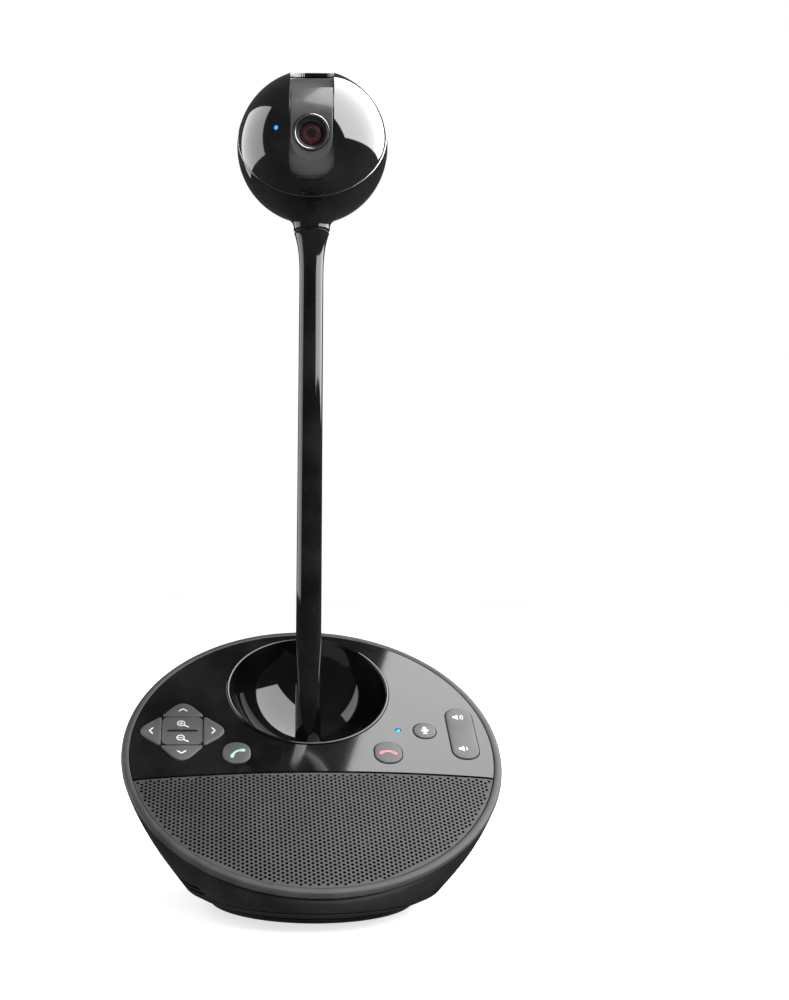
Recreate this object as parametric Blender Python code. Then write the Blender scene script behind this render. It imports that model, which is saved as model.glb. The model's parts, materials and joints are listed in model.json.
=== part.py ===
"""Conference camera on a stem: a ball camera head above a round, wedge-shaped speakerphone base.

Frame: metres, +Z up, the origin on the table under the middle of the base, the keys facing -Y.
The base face is a tilted disc. The stem stands in a bowl in its back half, and the ball turns on the stem.
"""
import math

import bmesh
import bpy
from mathutils import Matrix, Vector

MM = 0.001
GAP = 0.3 * MM

# The two overall sizes, and the ball that the bowl is made for.
FACE_RADIUS = 76.5 * MM
STEM_LENGTH = 223.7 * MM
BALL_RADIUS = 0.425 * FACE_RADIUS

# Layouts are drawn in these: each is a millimetre at the drawn size, and grows with the face or the ball.
U = FACE_RADIUS / 76.5
B = BALL_RADIUS / 32.5

# Base: a tilted round face over a smaller round foot.
FACE_TILT = math.radians(35.1)
FACE_Y = -1.2 * U
FRONT_HEIGHT = 15.4 * U
KINK_RADIUS = 50.4 * U
KINK_Y = -8.8 * U
KINK_Z = 7.5 * U
FOOT_RADIUS = 41.0 * U
FOOT_Y = -2.8 * U
FOOT_HEIGHT = 1.5 * MM
FOOT_WIDTH = 9.0 * U
SIDE_BULGE = 2.2 * U
BACK_BULGE = 7.0 * U
HOUSING_WALL = 2.2 * MM
FLANGE_WIDTH = 6.0 * MM
FLANGE_THICKNESS = 1.8 * MM
LEDGE_WIDTH = 2.0 * U
LEDGE_THICKNESS = 1.6 * MM
RIM_WIDTH = 3.2 * U
FACE_THICKNESS = 2.4 * MM
GRILLE_RECESS = 0.4 * MM
GRILLE_THICKNESS = 1.2 * MM
PANEL_EDGE_Y = -13.8 * U
PANEL_EDGE_SAG = 4.3 * U
TRAY_FLOOR = 2.4 * MM
TRAY_WALL = 2.4 * MM
BALLAST_THICKNESS = 2.4 * MM

# Vents, low on both sides of the housing.
VENT_COUNT = 3
VENT_LENGTH = 18.0 * U
VENT_HEIGHT = 1.1 * U
VENT_PITCH = 2.2 * U
VENT_CLEARANCE = 1.4 * U
VENT_TURN = math.radians(28.0)

# Screws that pull the tray and the ballast plate together over the housing's flange.
SCREW_CIRCLE = 25.0 * U
SCREW_SHANK = 1.2 * MM
SCREW_HEAD = 2.6 * MM
SCREW_HEAD_HEIGHT = 1.4 * MM
SCREW_CLEARANCE = 0.3 * MM
PILLAR_RADIUS = 4.2 * MM

# Stem.
SEAM_HEIGHT = 1.0 * MM
STEM_RADIUS = 5.5 * U
STEM_TOP_RADIUS = 5.15 * U
STEM_BORE = 3.2 * U
FLARE_RADIUS = 7.6 * U
FLARE_LENGTH = 22.0 * U

# Bowl: a seat for the ball when the stem is taken away.
BOWL_CLEARANCE = 1.6 * MM
BOWL_WALL = 1.5 * MM
BOWL_LIP = 1.3 * MM
BOWL_RISE = 6.9 * U
BOWL_MARGIN = 2.2 * MM
PLUG_RADIUS = 6.9 * U
PLUG_CLEARANCE = 0.3 * MM
PLUG_COLLAR = 7.9 * U
PLUG_COLLAR_HEIGHT = 3.2 * MM
PLUG_DEPTH = 24.0 * U
TUBE_SEAT = 12.0 * U
SOCKET_WALL = 2.6 * MM
SOCKET_FLANGE = 5.0 * MM

# Neck: the camera's own plug, with the pan motor in it.
NECK_PLUG_RADIUS = 4.3 * U
NECK_PLUG_LENGTH = 13.0 * U
NECK_PLUG_WALL = 0.9 * MM
NECK_FLANGE = 7.0 * U
NECK_FLANGE_HEIGHT = 0.4 * MM
PAN_SHAFT_RADIUS = 1.1 * U
SHAFT_CLEARANCE = 0.25 * MM

# Ball shells: a front dome and a rear cup meet at a leaning plane.
BALL_WALL = 1.6 * MM
HEAD_PAN = math.radians(-5.0)
NECK_REACH = 36.2 * B
NECK_MEET = 13.4 * B
SPLIT_LEAN = math.radians(23.0)
SPLIT_OFFSET = 6.8 * B
TRIM_WIDTH = 0.9 * MM
SLOT_HALF_WIDTH = 9.25 * B
SLOT_LOW = math.radians(-42.6)
SLOT_HIGH = math.radians(87.0)
HEAD_LED_TURN = math.radians(-27.0)
HEAD_LED_LIFT = math.radians(-1.0)
LED_RADIUS = 0.9 * MM

# Lens carriage: it tilts behind the dome's slot.
LENS_TILT = math.radians(5.5)
TILT_UP = math.radians(40.0)
TILT_DOWN = math.radians(15.0)
BEZEL_CLEARANCE = 0.45 * MM
BEZEL_LOW = math.radians(-27.0)
BEZEL_HIGH = math.radians(34.0)
BEZEL_INSET = 0.15 * MM
SHIELD_OVERLAP = 0.95 * MM
SHIELD_THICKNESS = 1.0 * MM
SHIELD_CLEARANCE = 0.4 * MM
LENS_RING_RADIUS = 7.5 * B
LENS_RING_WIDTH = 1.1 * MM
LENS_RING_STAND = 0.6 * MM
LENS_BARREL_LENGTH = 11.0 * B
LENS_GLASS_RADIUS = 4.6 * B
ARM_THICKNESS = 1.4 * MM
HUB_RADIUS = 3.6 * B
PIN_RADIUS = 1.2 * B
PIN_CLEARANCE = 0.06 * MM
GEAR_MODULE = 0.6 * B
GEAR_TEETH = 30
PINION_TEETH = 10
GEAR_THICKNESS = 1.6 * MM
GEAR_BACKLASH = 0.12
MOTOR_RADIUS = 5.2 * B
MOTOR_LENGTH = 18.0 * B
MOTOR_DROP = math.radians(20.0)

# Keys on the panel, in the face's own plane: x to the right, y up the slope.
KEY_CLEARANCE = 0.35 * MM
KEY_STAND = 0.5 * MM
KEY_DEPTH = 3.4 * MM
KEY_CHAMFER = 0.4 * MM
PAD_CENTRE = (-52.4 * U, 9.6 * U)
PAD_REACH = 17.0 * U
ZOOM_HALF = 8.2 * U
PETAL_HALF = 8.2 * U
CALL_KEY_X = 30.5 * U
CALL_KEY_Y = -3.3 * U
CALL_KEY_SIZE = (11.2 * U, 12.2 * U)
MUTE_CENTRE = (46.9 * U, 9.7 * U)
MUTE_SIZE = (9.2 * U, 9.2 * U)
VOLUME_CENTRE = (62.2 * U, 8.0 * U)
VOLUME_SIZE = (11.0 * U, 30.4 * U)
PANEL_LED = (36.0 * U, 10.2 * U)

# Inside the base.
SPEAKER_RADIUS = 23.5 * U
SPEAKER_Y = -42.0 * U
SPEAKER_DEPTH = 9.0 * U
BOARD_THICKNESS = 1.4 * MM
MAT_THICKNESS = 1.0 * MM
KEY_TRAVEL_ROOM = 1.2 * MM
BAY_WIDTH = 40.0 * U
BAY_HEIGHT = 12.4 * U
BAY_Z = 25.0 * U
BAY_WALL = 1.5 * MM
BAY_FLOOR_Y = 43.8 * U
PORT_LENGTH = 9.0 * U

BASE_STEPS = 60
BALL_STEPS = 40
ROUND_STEPS = 24
SMALL_STEPS = 12

# Sizes that follow from the ones above.
FACE_Z = FRONT_HEIGHT + FACE_RADIUS * math.sin(FACE_TILT)
TOP_RADIUS = FACE_RADIUS - GAP
PANEL_RADIUS = FACE_RADIUS - RIM_WIDTH - GAP
HOUSING_TOP = -FACE_THICKNESS - GAP
BOWL_SPHERE = BALL_RADIUS + BOWL_CLEARANCE
BOWL_EDGE = math.sqrt(BOWL_SPHERE ** 2 - BOWL_RISE ** 2)
BOWL_OUTER = BOWL_EDGE + BOWL_LIP
BOWL_FACE_Y = PANEL_RADIUS - BOWL_OUTER - BOWL_MARGIN
STEM_Y = FACE_Y + BOWL_FACE_Y * math.cos(FACE_TILT) - BOWL_RISE * math.sin(FACE_TILT)
BOWL_Z = FACE_Z + BOWL_FACE_Y * math.sin(FACE_TILT) + BOWL_RISE * math.cos(FACE_TILT)
BOWL_FLOOR_Z = BOWL_Z - BOWL_SPHERE
SEAM_Z = BOWL_FLOOR_Z + STEM_LENGTH
HEAD_BOTTOM = SEAM_Z + SEAM_HEIGHT
BALL_Z = HEAD_BOTTOM + NECK_REACH
BALLAST_Z = KINK_Z + FLANGE_THICKNESS + GAP
BALLAST_TOP = BALLAST_Z + BALLAST_THICKNESS
BALL_INNER = BALL_RADIUS - BALL_WALL
SHIELD_HALF = SLOT_HALF_WIDTH + SHIELD_OVERLAP
SHIELD_RADIUS = math.sqrt(BALL_INNER ** 2 - SHIELD_HALF ** 2) - SHIELD_CLEARANCE
BEZEL_HALF = SLOT_HALF_WIDTH - BEZEL_CLEARANCE
BEZEL_RADIUS = math.sqrt(BALL_RADIUS ** 2 - BEZEL_HALF ** 2) - BEZEL_INSET
GEAR_CENTRES = GEAR_MODULE * (GEAR_TEETH + PINION_TEETH) / 2
ARM_X = SHIELD_HALF - ARM_THICKNESS
GEAR_X = SHIELD_HALF + GAP
BRACKET_X = GEAR_X + GEAR_THICKNESS + GAP


# --- Finishes -------------------------------------------------------------------------------------

def finish(name, colour, roughness, metallic=0.0, alpha=1.0):
    """A Principled material."""
    material = bpy.data.materials.new(name)
    material.use_nodes = True
    shader = material.node_tree.nodes["Principled BSDF"]
    shader.inputs["Base Color"].default_value = (*colour, 1.0)
    shader.inputs["Roughness"].default_value = roughness
    shader.inputs["Metallic"].default_value = metallic
    shader.inputs["Alpha"].default_value = alpha
    material.diffuse_color = (*colour, alpha)
    return material


def make_finishes():
    """All finishes, by name."""
    return {
        "satin_black": finish("satin_black", (0.020, 0.020, 0.021), 0.45),
        "rim_grey": finish("rim_grey", (0.075, 0.075, 0.077), 0.42),
        "gloss_black": finish("gloss_black", (0.006, 0.006, 0.006), 0.07),
        "grille_grey": finish("grille_grey", (0.055, 0.055, 0.056), 0.50, 0.4),
        "key_grey": finish("key_grey", (0.080, 0.080, 0.083), 0.48),
        "rubber": finish("rubber", (0.015, 0.015, 0.015), 0.85),
        "steel": finish("steel", (0.45, 0.45, 0.46), 0.35, 1.0),
        "zinc": finish("zinc", (0.36, 0.36, 0.37), 0.45, 1.0),
        "copper": finish("copper", (0.65, 0.33, 0.18), 0.40, 1.0),
        "board_green": finish("board_green", (0.015, 0.095, 0.045), 0.45),
        "paper_black": finish("paper_black", (0.025, 0.024, 0.023), 0.90),
        "nylon_white": finish("nylon_white", (0.62, 0.61, 0.57), 0.50),
        "lamp_blue": finish("lamp_blue", (0.05, 0.35, 0.95), 0.20),
        "lens_glass": finish("lens_glass", (0.03, 0.02, 0.03), 0.03, 0.0, 0.6),
    }


# --- Mesh helpers ---------------------------------------------------------------------------------

def make_frame(name, location=(0.0, 0.0, 0.0), turn=(0.0, 0.0, 0.0), parent=None):
    """An empty that other pieces are placed in."""
    frame = bpy.data.objects.new(name, None)
    bpy.context.collection.objects.link(frame)
    return place(frame, parent, location, turn)


def place(obj, parent=None, location=(0.0, 0.0, 0.0), turn=(0.0, 0.0, 0.0)):
    """Put an object at a place in its parent's frame."""
    obj.parent = parent
    obj.location = location
    obj.rotation_euler = turn
    return obj


def make_object(name, bm, material=None, smooth_angle=35.0):
    """Turn a bmesh into a named object with faces pointing out."""
    bmesh.ops.recalc_face_normals(bm, faces=bm.faces)
    mesh = bpy.data.meshes.new(name)
    bm.to_mesh(mesh)
    bm.free()
    if material:
        mesh.materials.append(material)
    mesh.shade_smooth()
    mesh.set_sharp_from_angle(angle=math.radians(smooth_angle))
    obj = bpy.data.objects.new(name, mesh)
    bpy.context.collection.objects.link(obj)
    return obj


def turned(name, profile, material=None, steps=ROUND_STEPS, bm=None):
    """A turned solid about Z. The profile (radius, height) is a ring, or starts and ends on the axis."""
    bm = bmesh.new() if bm is None else bm
    points = [bm.verts.new((radius, 0.0, height)) for radius, height in profile]
    edges = [bm.edges.new(pair) for pair in zip(points, points[1:])]
    if profile[0][0] > 0.0:
        edges.append(bm.edges.new((points[-1], points[0])))
    bmesh.ops.spin(bm, geom=points + edges, axis=(0, 0, 1), cent=(0, 0, 0), angle=math.tau,
                   steps=steps, use_merge=True)
    bmesh.ops.remove_doubles(bm, verts=bm.verts, dist=1e-6)
    return make_object(name, bm, material)


def lofted(name, rings, material=None, closed=False):
    """A solid skinned over rings of points: capped at both ends, or closed on itself."""
    bm = bmesh.new()
    loops = [[bm.verts.new(point) for point in ring] for ring in rings]
    pairs = list(zip(loops, loops[1:])) + ([(loops[-1], loops[0])] if closed else [])
    for low, high in pairs:
        for i in range(len(low)):
            j = (i + 1) % len(low)
            bm.faces.new((low[i], low[j], high[j], high[i]))
    if not closed:
        bm.faces.new(loops[0])
        bm.faces.new(loops[-1])
    return make_object(name, bm, material)


def plate(name, outline, low, high, material=None, chamfer=0.0):
    """An outline in X and Y raised from low to high, with its top edge chamfered if asked."""
    bm = bmesh.new()
    bottom = bm.faces.new([bm.verts.new((x, y, low)) for x, y in outline])
    raised = bmesh.ops.extrude_face_region(bm, geom=[bottom])
    top_verts = [item for item in raised["geom"] if isinstance(item, bmesh.types.BMVert)]
    bmesh.ops.translate(bm, verts=top_verts, vec=(0.0, 0.0, high - low))
    if chamfer:
        rim = {edge for vert in top_verts for edge in vert.link_edges
               if all(abs(end.co.z - high) < 1e-9 for end in edge.verts)}
        bmesh.ops.bevel(bm, geom=list(rim), offset=chamfer, segments=1, affect="EDGES")
    return make_object(name, bm, material)


def block(name, low, high, material=None):
    """A plain box between two corners."""
    outline = [(low[0], low[1]), (high[0], low[1]), (high[0], high[1]), (low[0], high[1])]
    return plate(name, outline, low[2], high[2], material)


def circle(radius, steps=ROUND_STEPS, centre=(0.0, 0.0)):
    """Points around a circle."""
    angles = [math.tau * i / steps for i in range(steps)]
    return [(centre[0] + radius * math.cos(a), centre[1] + radius * math.sin(a)) for a in angles]


def rounded_box(size, radius, steps=4, centre=(0.0, 0.0)):
    """Points around a rectangle with round corners."""
    points = []
    for corner in range(4):
        across = (1, -1, -1, 1)[corner] * (size[0] / 2 - radius)
        along = (1, 1, -1, -1)[corner] * (size[1] / 2 - radius)
        for step in range(steps + 1):
            angle = math.pi / 2 * (corner + step / steps)
            points.append((centre[0] + across + radius * math.cos(angle),
                           centre[1] + along + radius * math.sin(angle)))
    return points


def boolean(target, tool, operation="DIFFERENCE"):
    """Cut, join or trim a piece with a tool that isn't part of the model."""
    tool.hide_render = True
    tool.display_type = "WIRE"
    modifier = target.modifiers.new(tool.name, "BOOLEAN")
    modifier.operation = operation
    modifier.solver = "EXACT"
    modifier.object = tool
    return target


def rods(name, centres, radius, low, high, steps=SMALL_STEPS):
    """One tool of several upright cylinders."""
    bm = bmesh.new()
    for x, y in centres:
        shift = Matrix.Translation((x, y, (low + high) / 2))
        bmesh.ops.create_cone(bm, cap_ends=True, segments=steps, radius1=radius, radius2=radius,
                              depth=high - low, matrix=shift)
    return make_object(name, bm)


# --- Outlines -------------------------------------------------------------------------------------

def face_point(across, up, out):
    """A point of the tilted face's frame, in the model's frame."""
    sine, cosine = math.sin(FACE_TILT), math.cos(FACE_TILT)
    return Vector((across, FACE_Y + up * cosine - out * sine, FACE_Z + up * sine + out * cosine))


def ring_points(radius, centre_y, height, steps=BASE_STEPS):
    """Points around a level circle."""
    return [Vector((x, y, height)) for x, y in circle(radius, steps, (0.0, centre_y))]


def flank_point(angle, share, inset=0.0):
    """A point of the housing's flank, from the kink (share 0) to the top edge (share 1)."""
    outward = Vector((math.cos(angle), math.sin(angle), 0.0))
    low = Vector((0.0, KINK_Y, KINK_Z)) + KINK_RADIUS * outward
    high = face_point(TOP_RADIUS * math.cos(angle), TOP_RADIUS * math.sin(angle), HOUSING_TOP)
    back = max(0.0, math.sin(angle)) ** 2
    bulge = SIDE_BULGE + (BACK_BULGE - SIDE_BULGE) * back
    return low.lerp(high, share) + outward * (4 * share * (1 - share) * bulge - inset)


def housing_section(angle):
    """The housing wall's section at one angle: flank, top ledge, inner wall and bottom flange."""
    cosine, sine = math.cos(angle), math.sin(angle)
    top = flank_point(angle, 1.0)
    height = top.z - KINK_Z
    outer = [flank_point(angle, share / 5) for share in range(6)]
    near_bowl = max(0.0, min(1.0, (sine - math.cos(math.radians(30))) * 12))
    ledge = TOP_RADIUS - HOUSING_WALL - LEDGE_WIDTH * (1 - near_bowl)
    under = HOUSING_TOP - LEDGE_THICKNESS
    wall_top = TOP_RADIUS - HOUSING_WALL
    shelf = [face_point(ledge * cosine, ledge * sine, HOUSING_TOP),
             face_point(ledge * cosine, ledge * sine, under),
             face_point((wall_top + GAP) * cosine, (wall_top + GAP) * sine, under)]
    high = 1 - 1.4 * LEDGE_THICKNESS / height
    low = FLANGE_THICKNESS / height
    inner = [flank_point(angle, high + (low - high) * step / 3, HOUSING_WALL) for step in range(4)]
    reach = KINK_RADIUS - HOUSING_WALL - FLANGE_WIDTH
    flange = [Vector((reach * cosine, KINK_Y + reach * sine, KINK_Z + FLANGE_THICKNESS)),
              Vector((reach * cosine, KINK_Y + reach * sine, KINK_Z))]
    return outer + shelf + inner + flange


def panel_edge(across):
    """Height up the face of the arc where the panel meets the grille."""
    return PANEL_EDGE_Y - PANEL_EDGE_SAG * (across / PANEL_RADIUS) ** 2


def face_segment(upper, inset, steps=BASE_STEPS):
    """Outline of the face on one side of the panel's lower edge, moved in by inset."""
    radius = PANEL_RADIUS
    shift = inset if upper else -inset
    start = math.asin((panel_edge(radius) + shift) / radius)
    sweep = math.pi - 2 * start if upper else -(math.pi + 2 * start)
    rim = [(radius * math.cos(start + sweep * i / steps), radius * math.sin(start + sweep * i / steps))
           for i in range(steps + 1)]
    left, right = rim[-1][0], rim[0][0]
    edge = [left + (right - left) * i / 16 for i in range(1, 16)]
    return rim + [(x, panel_edge(x) + shift) for x in edge]


def petal_outline(side, reach, half, start):
    """One of the four pad keys: a straight root and a round tip on hollow shoulders."""
    steps = 12
    root = [(half, start), (-half, start)]
    crown = []
    for i in range(1, steps):
        across = -half + 2 * half * i / steps
        swell = 0.5 + 0.5 * math.cos(math.pi * across / half)
        crown.append((across, start + 1.2 * MM + (reach - start - 1.2 * MM) * swell ** 0.55))
    points = [root[0]] + [root[1]] + crown
    turn = Matrix.Rotation(side * math.pi / 2, 2)
    return [tuple(turn @ Vector(point)) for point in points]


def pad_hole_outline():
    """The cross-shaped opening that holds the four pad keys and the zoom rocker."""
    points = []
    half = PETAL_HALF + KEY_CLEARANCE
    for side in range(4):
        lobe = petal_outline(side, PAD_REACH + KEY_CLEARANCE, half, half)
        points += list(reversed(lobe[1:]))
    return points


def gear_outline(teeth, module, backlash):
    """Outline of a spur gear with straight-sided teeth, a tooth centred on +X."""
    root = module * (teeth / 2 - 1.25)
    tip = module * (teeth / 2 + 0.9)
    pitch = math.tau / teeth
    points = []
    for tooth in range(teeth):
        middle = pitch * tooth
        for radius, share in ((root, -0.34), (tip, -0.13), (tip, 0.13), (root, 0.34)):
            angle = middle + pitch * share * (1 - backlash)
            points.append((radius * math.cos(angle), radius * math.sin(angle)))
    return points


def curved_strip(name, half, inner, outer, low, high, round_low, round_high, material=None, steps=24):
    """A strip bent about X, from one elevation to another, with round ends if asked."""
    rings = []
    for step in range(steps + 1):
        lift = low + (high - low) * (1 - math.cos(math.pi * step / steps)) / 2
        width = half
        for is_round, end in ((round_low, low), (round_high, high)):
            gone = half - abs(lift - end) * outer
            if is_round and gone > 0.0:
                width = min(width, math.sqrt(max(half ** 2 - gone ** 2, (0.08 * half) ** 2)))
        corners = ((-width, inner), (width, inner), (width, outer), (-width, outer))
        rings.append([Vector((x, -r * math.cos(lift), r * math.sin(lift))) for x, r in corners])
    return lofted(name, rings, material)


# --- Base shell -----------------------------------------------------------------------------------

def build_housing(finishes):
    """The outer shell with its vents and the opening for the rear sockets."""
    angles = [math.tau * i / BASE_STEPS for i in range(BASE_STEPS)]
    sections = [housing_section(angle) for angle in angles]
    rings = [[section[i] for section in sections] for i in range(len(sections[0]))]
    housing = lofted("housing", rings, finishes["satin_black"], closed=True)
    bm = bmesh.new()
    first = KINK_Z + FLANGE_THICKNESS + VENT_CLEARANCE
    for side in (-1, 1):
        turn = Matrix.Rotation(-side * VENT_TURN, 4, "Z")
        for row in range(VENT_COUNT):
            centre = Vector((side * KINK_RADIUS, 0.0, first + row * VENT_PITCH))
            where = Matrix.Translation((0.0, KINK_Y, 0.0)) @ turn @ Matrix.Translation(centre)
            size = Matrix.Diagonal((12.0 * MM, VENT_LENGTH, VENT_HEIGHT, 1.0))
            bmesh.ops.create_cube(bm, size=1.0, matrix=where @ size)
    boolean(housing, make_object("vent_cutter", bm))
    half = BAY_WIDTH / 2 + GAP
    tall = BAY_HEIGHT / 2 + GAP
    front = BAY_FLOOR_Y - BAY_WALL - GAP
    cutter = block("bay_cutter", (-half, front, BAY_Z - tall), (half, 2 * FACE_RADIUS, BAY_Z + tall))
    boolean(housing, cutter)
    return housing


def build_rim(finishes, face):
    """The grey ring around the face."""
    inner = FACE_RADIUS - RIM_WIDTH
    profile = [(inner, -FACE_THICKNESS), (TOP_RADIUS, -FACE_THICKNESS), (FACE_RADIUS, -1.3 * MM),
               (FACE_RADIUS - 0.4 * MM, -0.6 * MM), (FACE_RADIUS - 1.3 * MM, -0.1 * MM),
               (FACE_RADIUS - 2.2 * MM, 0.0), (inner, 0.0)]
    return place(turned("rim_ring", profile, finishes["rim_grey"], BASE_STEPS), face)


def key_holes():
    """Outlines of the panel's openings, each a little larger than its key."""
    pad = [(x + PAD_CENTRE[0], y + PAD_CENTRE[1]) for x, y in pad_hole_outline()]
    grow = KEY_CLEARANCE
    call = tuple(side + 2 * grow for side in CALL_KEY_SIZE)
    mute = tuple(side + 2 * grow for side in MUTE_SIZE)
    volume = tuple(side + 2 * grow for side in VOLUME_SIZE)
    return [pad,
            rounded_box(call, 0.46 * call[0], 5, (-CALL_KEY_X, CALL_KEY_Y)),
            rounded_box(call, 0.46 * call[0], 5, (CALL_KEY_X, CALL_KEY_Y)),
            rounded_box(mute, 0.46 * mute[0], 5, MUTE_CENTRE),
            rounded_box(volume, 0.46 * volume[0], 5, VOLUME_CENTRE),
            circle(LED_RADIUS + KEY_CLEARANCE, SMALL_STEPS, PANEL_LED)]


def build_panel(finishes, face):
    """The glossy upper part of the face, with openings for the bowl and the keys."""
    panel = place(plate("control_panel", face_segment(True, GAP), -FACE_THICKNESS, 0.0,
                        finishes["gloss_black"]), face)
    openings = [circle(BOWL_OUTER + GAP, 48, (0.0, BOWL_FACE_Y))] + key_holes()
    for number, outline in enumerate(openings):
        cutter = plate(f"panel_cutter_{number}", outline, -2 * FACE_THICKNESS, FACE_THICKNESS)
        boolean(panel, place(cutter, face))
    return panel


def build_grille(finishes, face):
    """The speaker grille in the lower part of the face."""
    top = -GRILLE_RECESS
    return place(plate("speaker_grille", face_segment(False, GAP), top - GRILLE_THICKNESS, top,
                       finishes["grille_grey"]), face)


def build_bowl(finishes, face):
    """The ball's seat: part of a hollow sphere whose rim lies in the face."""
    outer = BOWL_SPHERE + BOWL_WALL
    centre = BOWL_RISE
    steps = 11
    start = math.asin(BOWL_RISE / BOWL_SPHERE)
    inside = []
    for i in range(steps + 1):
        angle = start + (math.pi / 2 - start) * i / steps
        inside.append((BOWL_SPHERE * math.cos(angle), centre - BOWL_SPHERE * math.sin(angle)))
    inside[-1] = (0.0, centre - BOWL_SPHERE)
    under = -FACE_THICKNESS
    begin = math.asin((BOWL_RISE - under) / outer)
    outside = []
    for i in range(steps + 1):
        angle = begin + (math.pi / 2 - begin) * i / steps
        outside.append((outer * math.cos(angle), centre - outer * math.sin(angle)))
    outside[-1] = (0.0, centre - outer)
    rim = [(BOWL_EDGE, 0.25 * MM), (BOWL_EDGE + 0.4 * MM, 0.5 * MM), (BOWL_OUTER - 0.3 * MM, 0.4 * MM),
           (BOWL_OUTER, 0.0), (BOWL_OUTER, under)]
    profile = list(reversed(inside)) + rim + outside
    bowl = turned("bowl", profile, finishes["gloss_black"], 48)
    place(bowl, face, (0.0, BOWL_FACE_Y, 0.0))
    hole = rods("bowl_cutter", [(0.0, STEM_Y)], PLUG_COLLAR + GAP, BOWL_FLOOR_Z - 3 * BOWL_WALL,
                BOWL_FLOOR_Z + 3 * BOWL_WALL, ROUND_STEPS)
    return boolean(bowl, hole)


def build_socket(finishes, stem):
    """The upright socket under the bowl that the stem plugs into."""
    bore = PLUG_RADIUS + PLUG_CLEARANCE
    mouth = PLUG_COLLAR + GAP
    outer = mouth + SOCKET_WALL
    top = socket_top()
    step = BOWL_FLOOR_Z - PLUG_COLLAR_HEIGHT - GAP
    floor = step - PLUG_DEPTH - GAP
    profile = [(0.0, floor - SOCKET_WALL), (outer - 1.6 * MM, floor - SOCKET_WALL), (outer - 1.6 * MM, top - 6 * MM),
               (outer + SOCKET_FLANGE, top - 2 * MM), (outer + SOCKET_FLANGE, top), (mouth, top),
               (mouth, step), (bore, step), (bore, floor), (0.0, floor)]
    return place(turned("stem_socket", profile, finishes["satin_black"]), stem)


def socket_top():
    """Height of the socket's flange, under the rounded underside of the bowl."""
    return BOWL_Z - BOWL_SPHERE - BOWL_WALL - GAP


def screw_places():
    """Where the tray screws stand."""
    return circle(SCREW_CIRCLE, 4, (0.0, FOOT_Y))


def build_tray(finishes):
    """The bottom tray, with pillars for its screws."""
    foot_top = FOOT_HEIGHT + GAP
    floor = foot_top + TRAY_FLOOR
    top = KINK_Z - GAP
    middle = (KINK_RADIUS + FOOT_RADIUS) / 2 + 0.8 * MM
    rings = [ring_points(FOOT_RADIUS + 0.4 * MM, FOOT_Y, foot_top),
             ring_points(middle, (KINK_Y + FOOT_Y) / 2, (foot_top + top) / 2),
             ring_points(KINK_RADIUS - 0.2 * MM, KINK_Y, top),
             ring_points(KINK_RADIUS - 0.2 * MM - TRAY_WALL, KINK_Y, top),
             ring_points(FOOT_RADIUS - 1.0 * MM, FOOT_Y, floor)]
    tray = lofted("bottom_tray", rings, finishes["satin_black"])
    pillars = rods("pillar_tool", screw_places(), PILLAR_RADIUS, floor - 1.2 * MM, BALLAST_Z - GAP, 16)
    boolean(tray, pillars, "UNION")
    sink = foot_top + SCREW_HEAD_HEIGHT + GAP
    heads = rods("head_cutter", screw_places(), SCREW_HEAD + SCREW_CLEARANCE, -FOOT_HEIGHT, sink, 16)
    boolean(tray, heads)
    shanks = rods("shank_cutter", screw_places(), SCREW_SHANK + SCREW_CLEARANCE, 0.0, 2 * BALLAST_TOP)
    return boolean(tray, shanks)


def build_bottom_pieces(finishes):
    """The rubber foot, the steel ballast plate and the screws."""
    foot = make_frame("foot_frame", (0.0, FOOT_Y, 0.0))
    inner = FOOT_RADIUS - FOOT_WIDTH
    soft = 0.4 * MM
    profile = [(inner, 0.0), (FOOT_RADIUS - soft, 0.0), (FOOT_RADIUS, soft), (FOOT_RADIUS, FOOT_HEIGHT),
               (inner, FOOT_HEIGHT)]
    place(turned("foot_ring", profile, finishes["rubber"], BASE_STEPS), foot)
    reach = KINK_RADIUS - HOUSING_WALL - 2.5 * MM
    ballast = plate("ballast_plate", circle(reach, 40, (0.0, KINK_Y)), BALLAST_Z, BALLAST_TOP, finishes["steel"])
    boolean(ballast, rods("thread_cutter", screw_places(), SCREW_SHANK + SCREW_CLEARANCE, 0.0, 2 * BALLAST_TOP))
    low = FOOT_HEIGHT + GAP
    high = low + SCREW_HEAD_HEIGHT
    profile = [(0.0, low), (SCREW_HEAD - soft, low), (SCREW_HEAD, low + soft), (SCREW_HEAD, high),
               (SCREW_SHANK, high), (SCREW_SHANK, BALLAST_TOP), (0.0, BALLAST_TOP)]
    for number, (x, y) in enumerate(screw_places(), 1):
        place(turned(f"tray_screw_{number}", profile, finishes["zinc"], SMALL_STEPS), None, (x, y, 0.0))


# --- Inside the base ------------------------------------------------------------------------------

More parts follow.
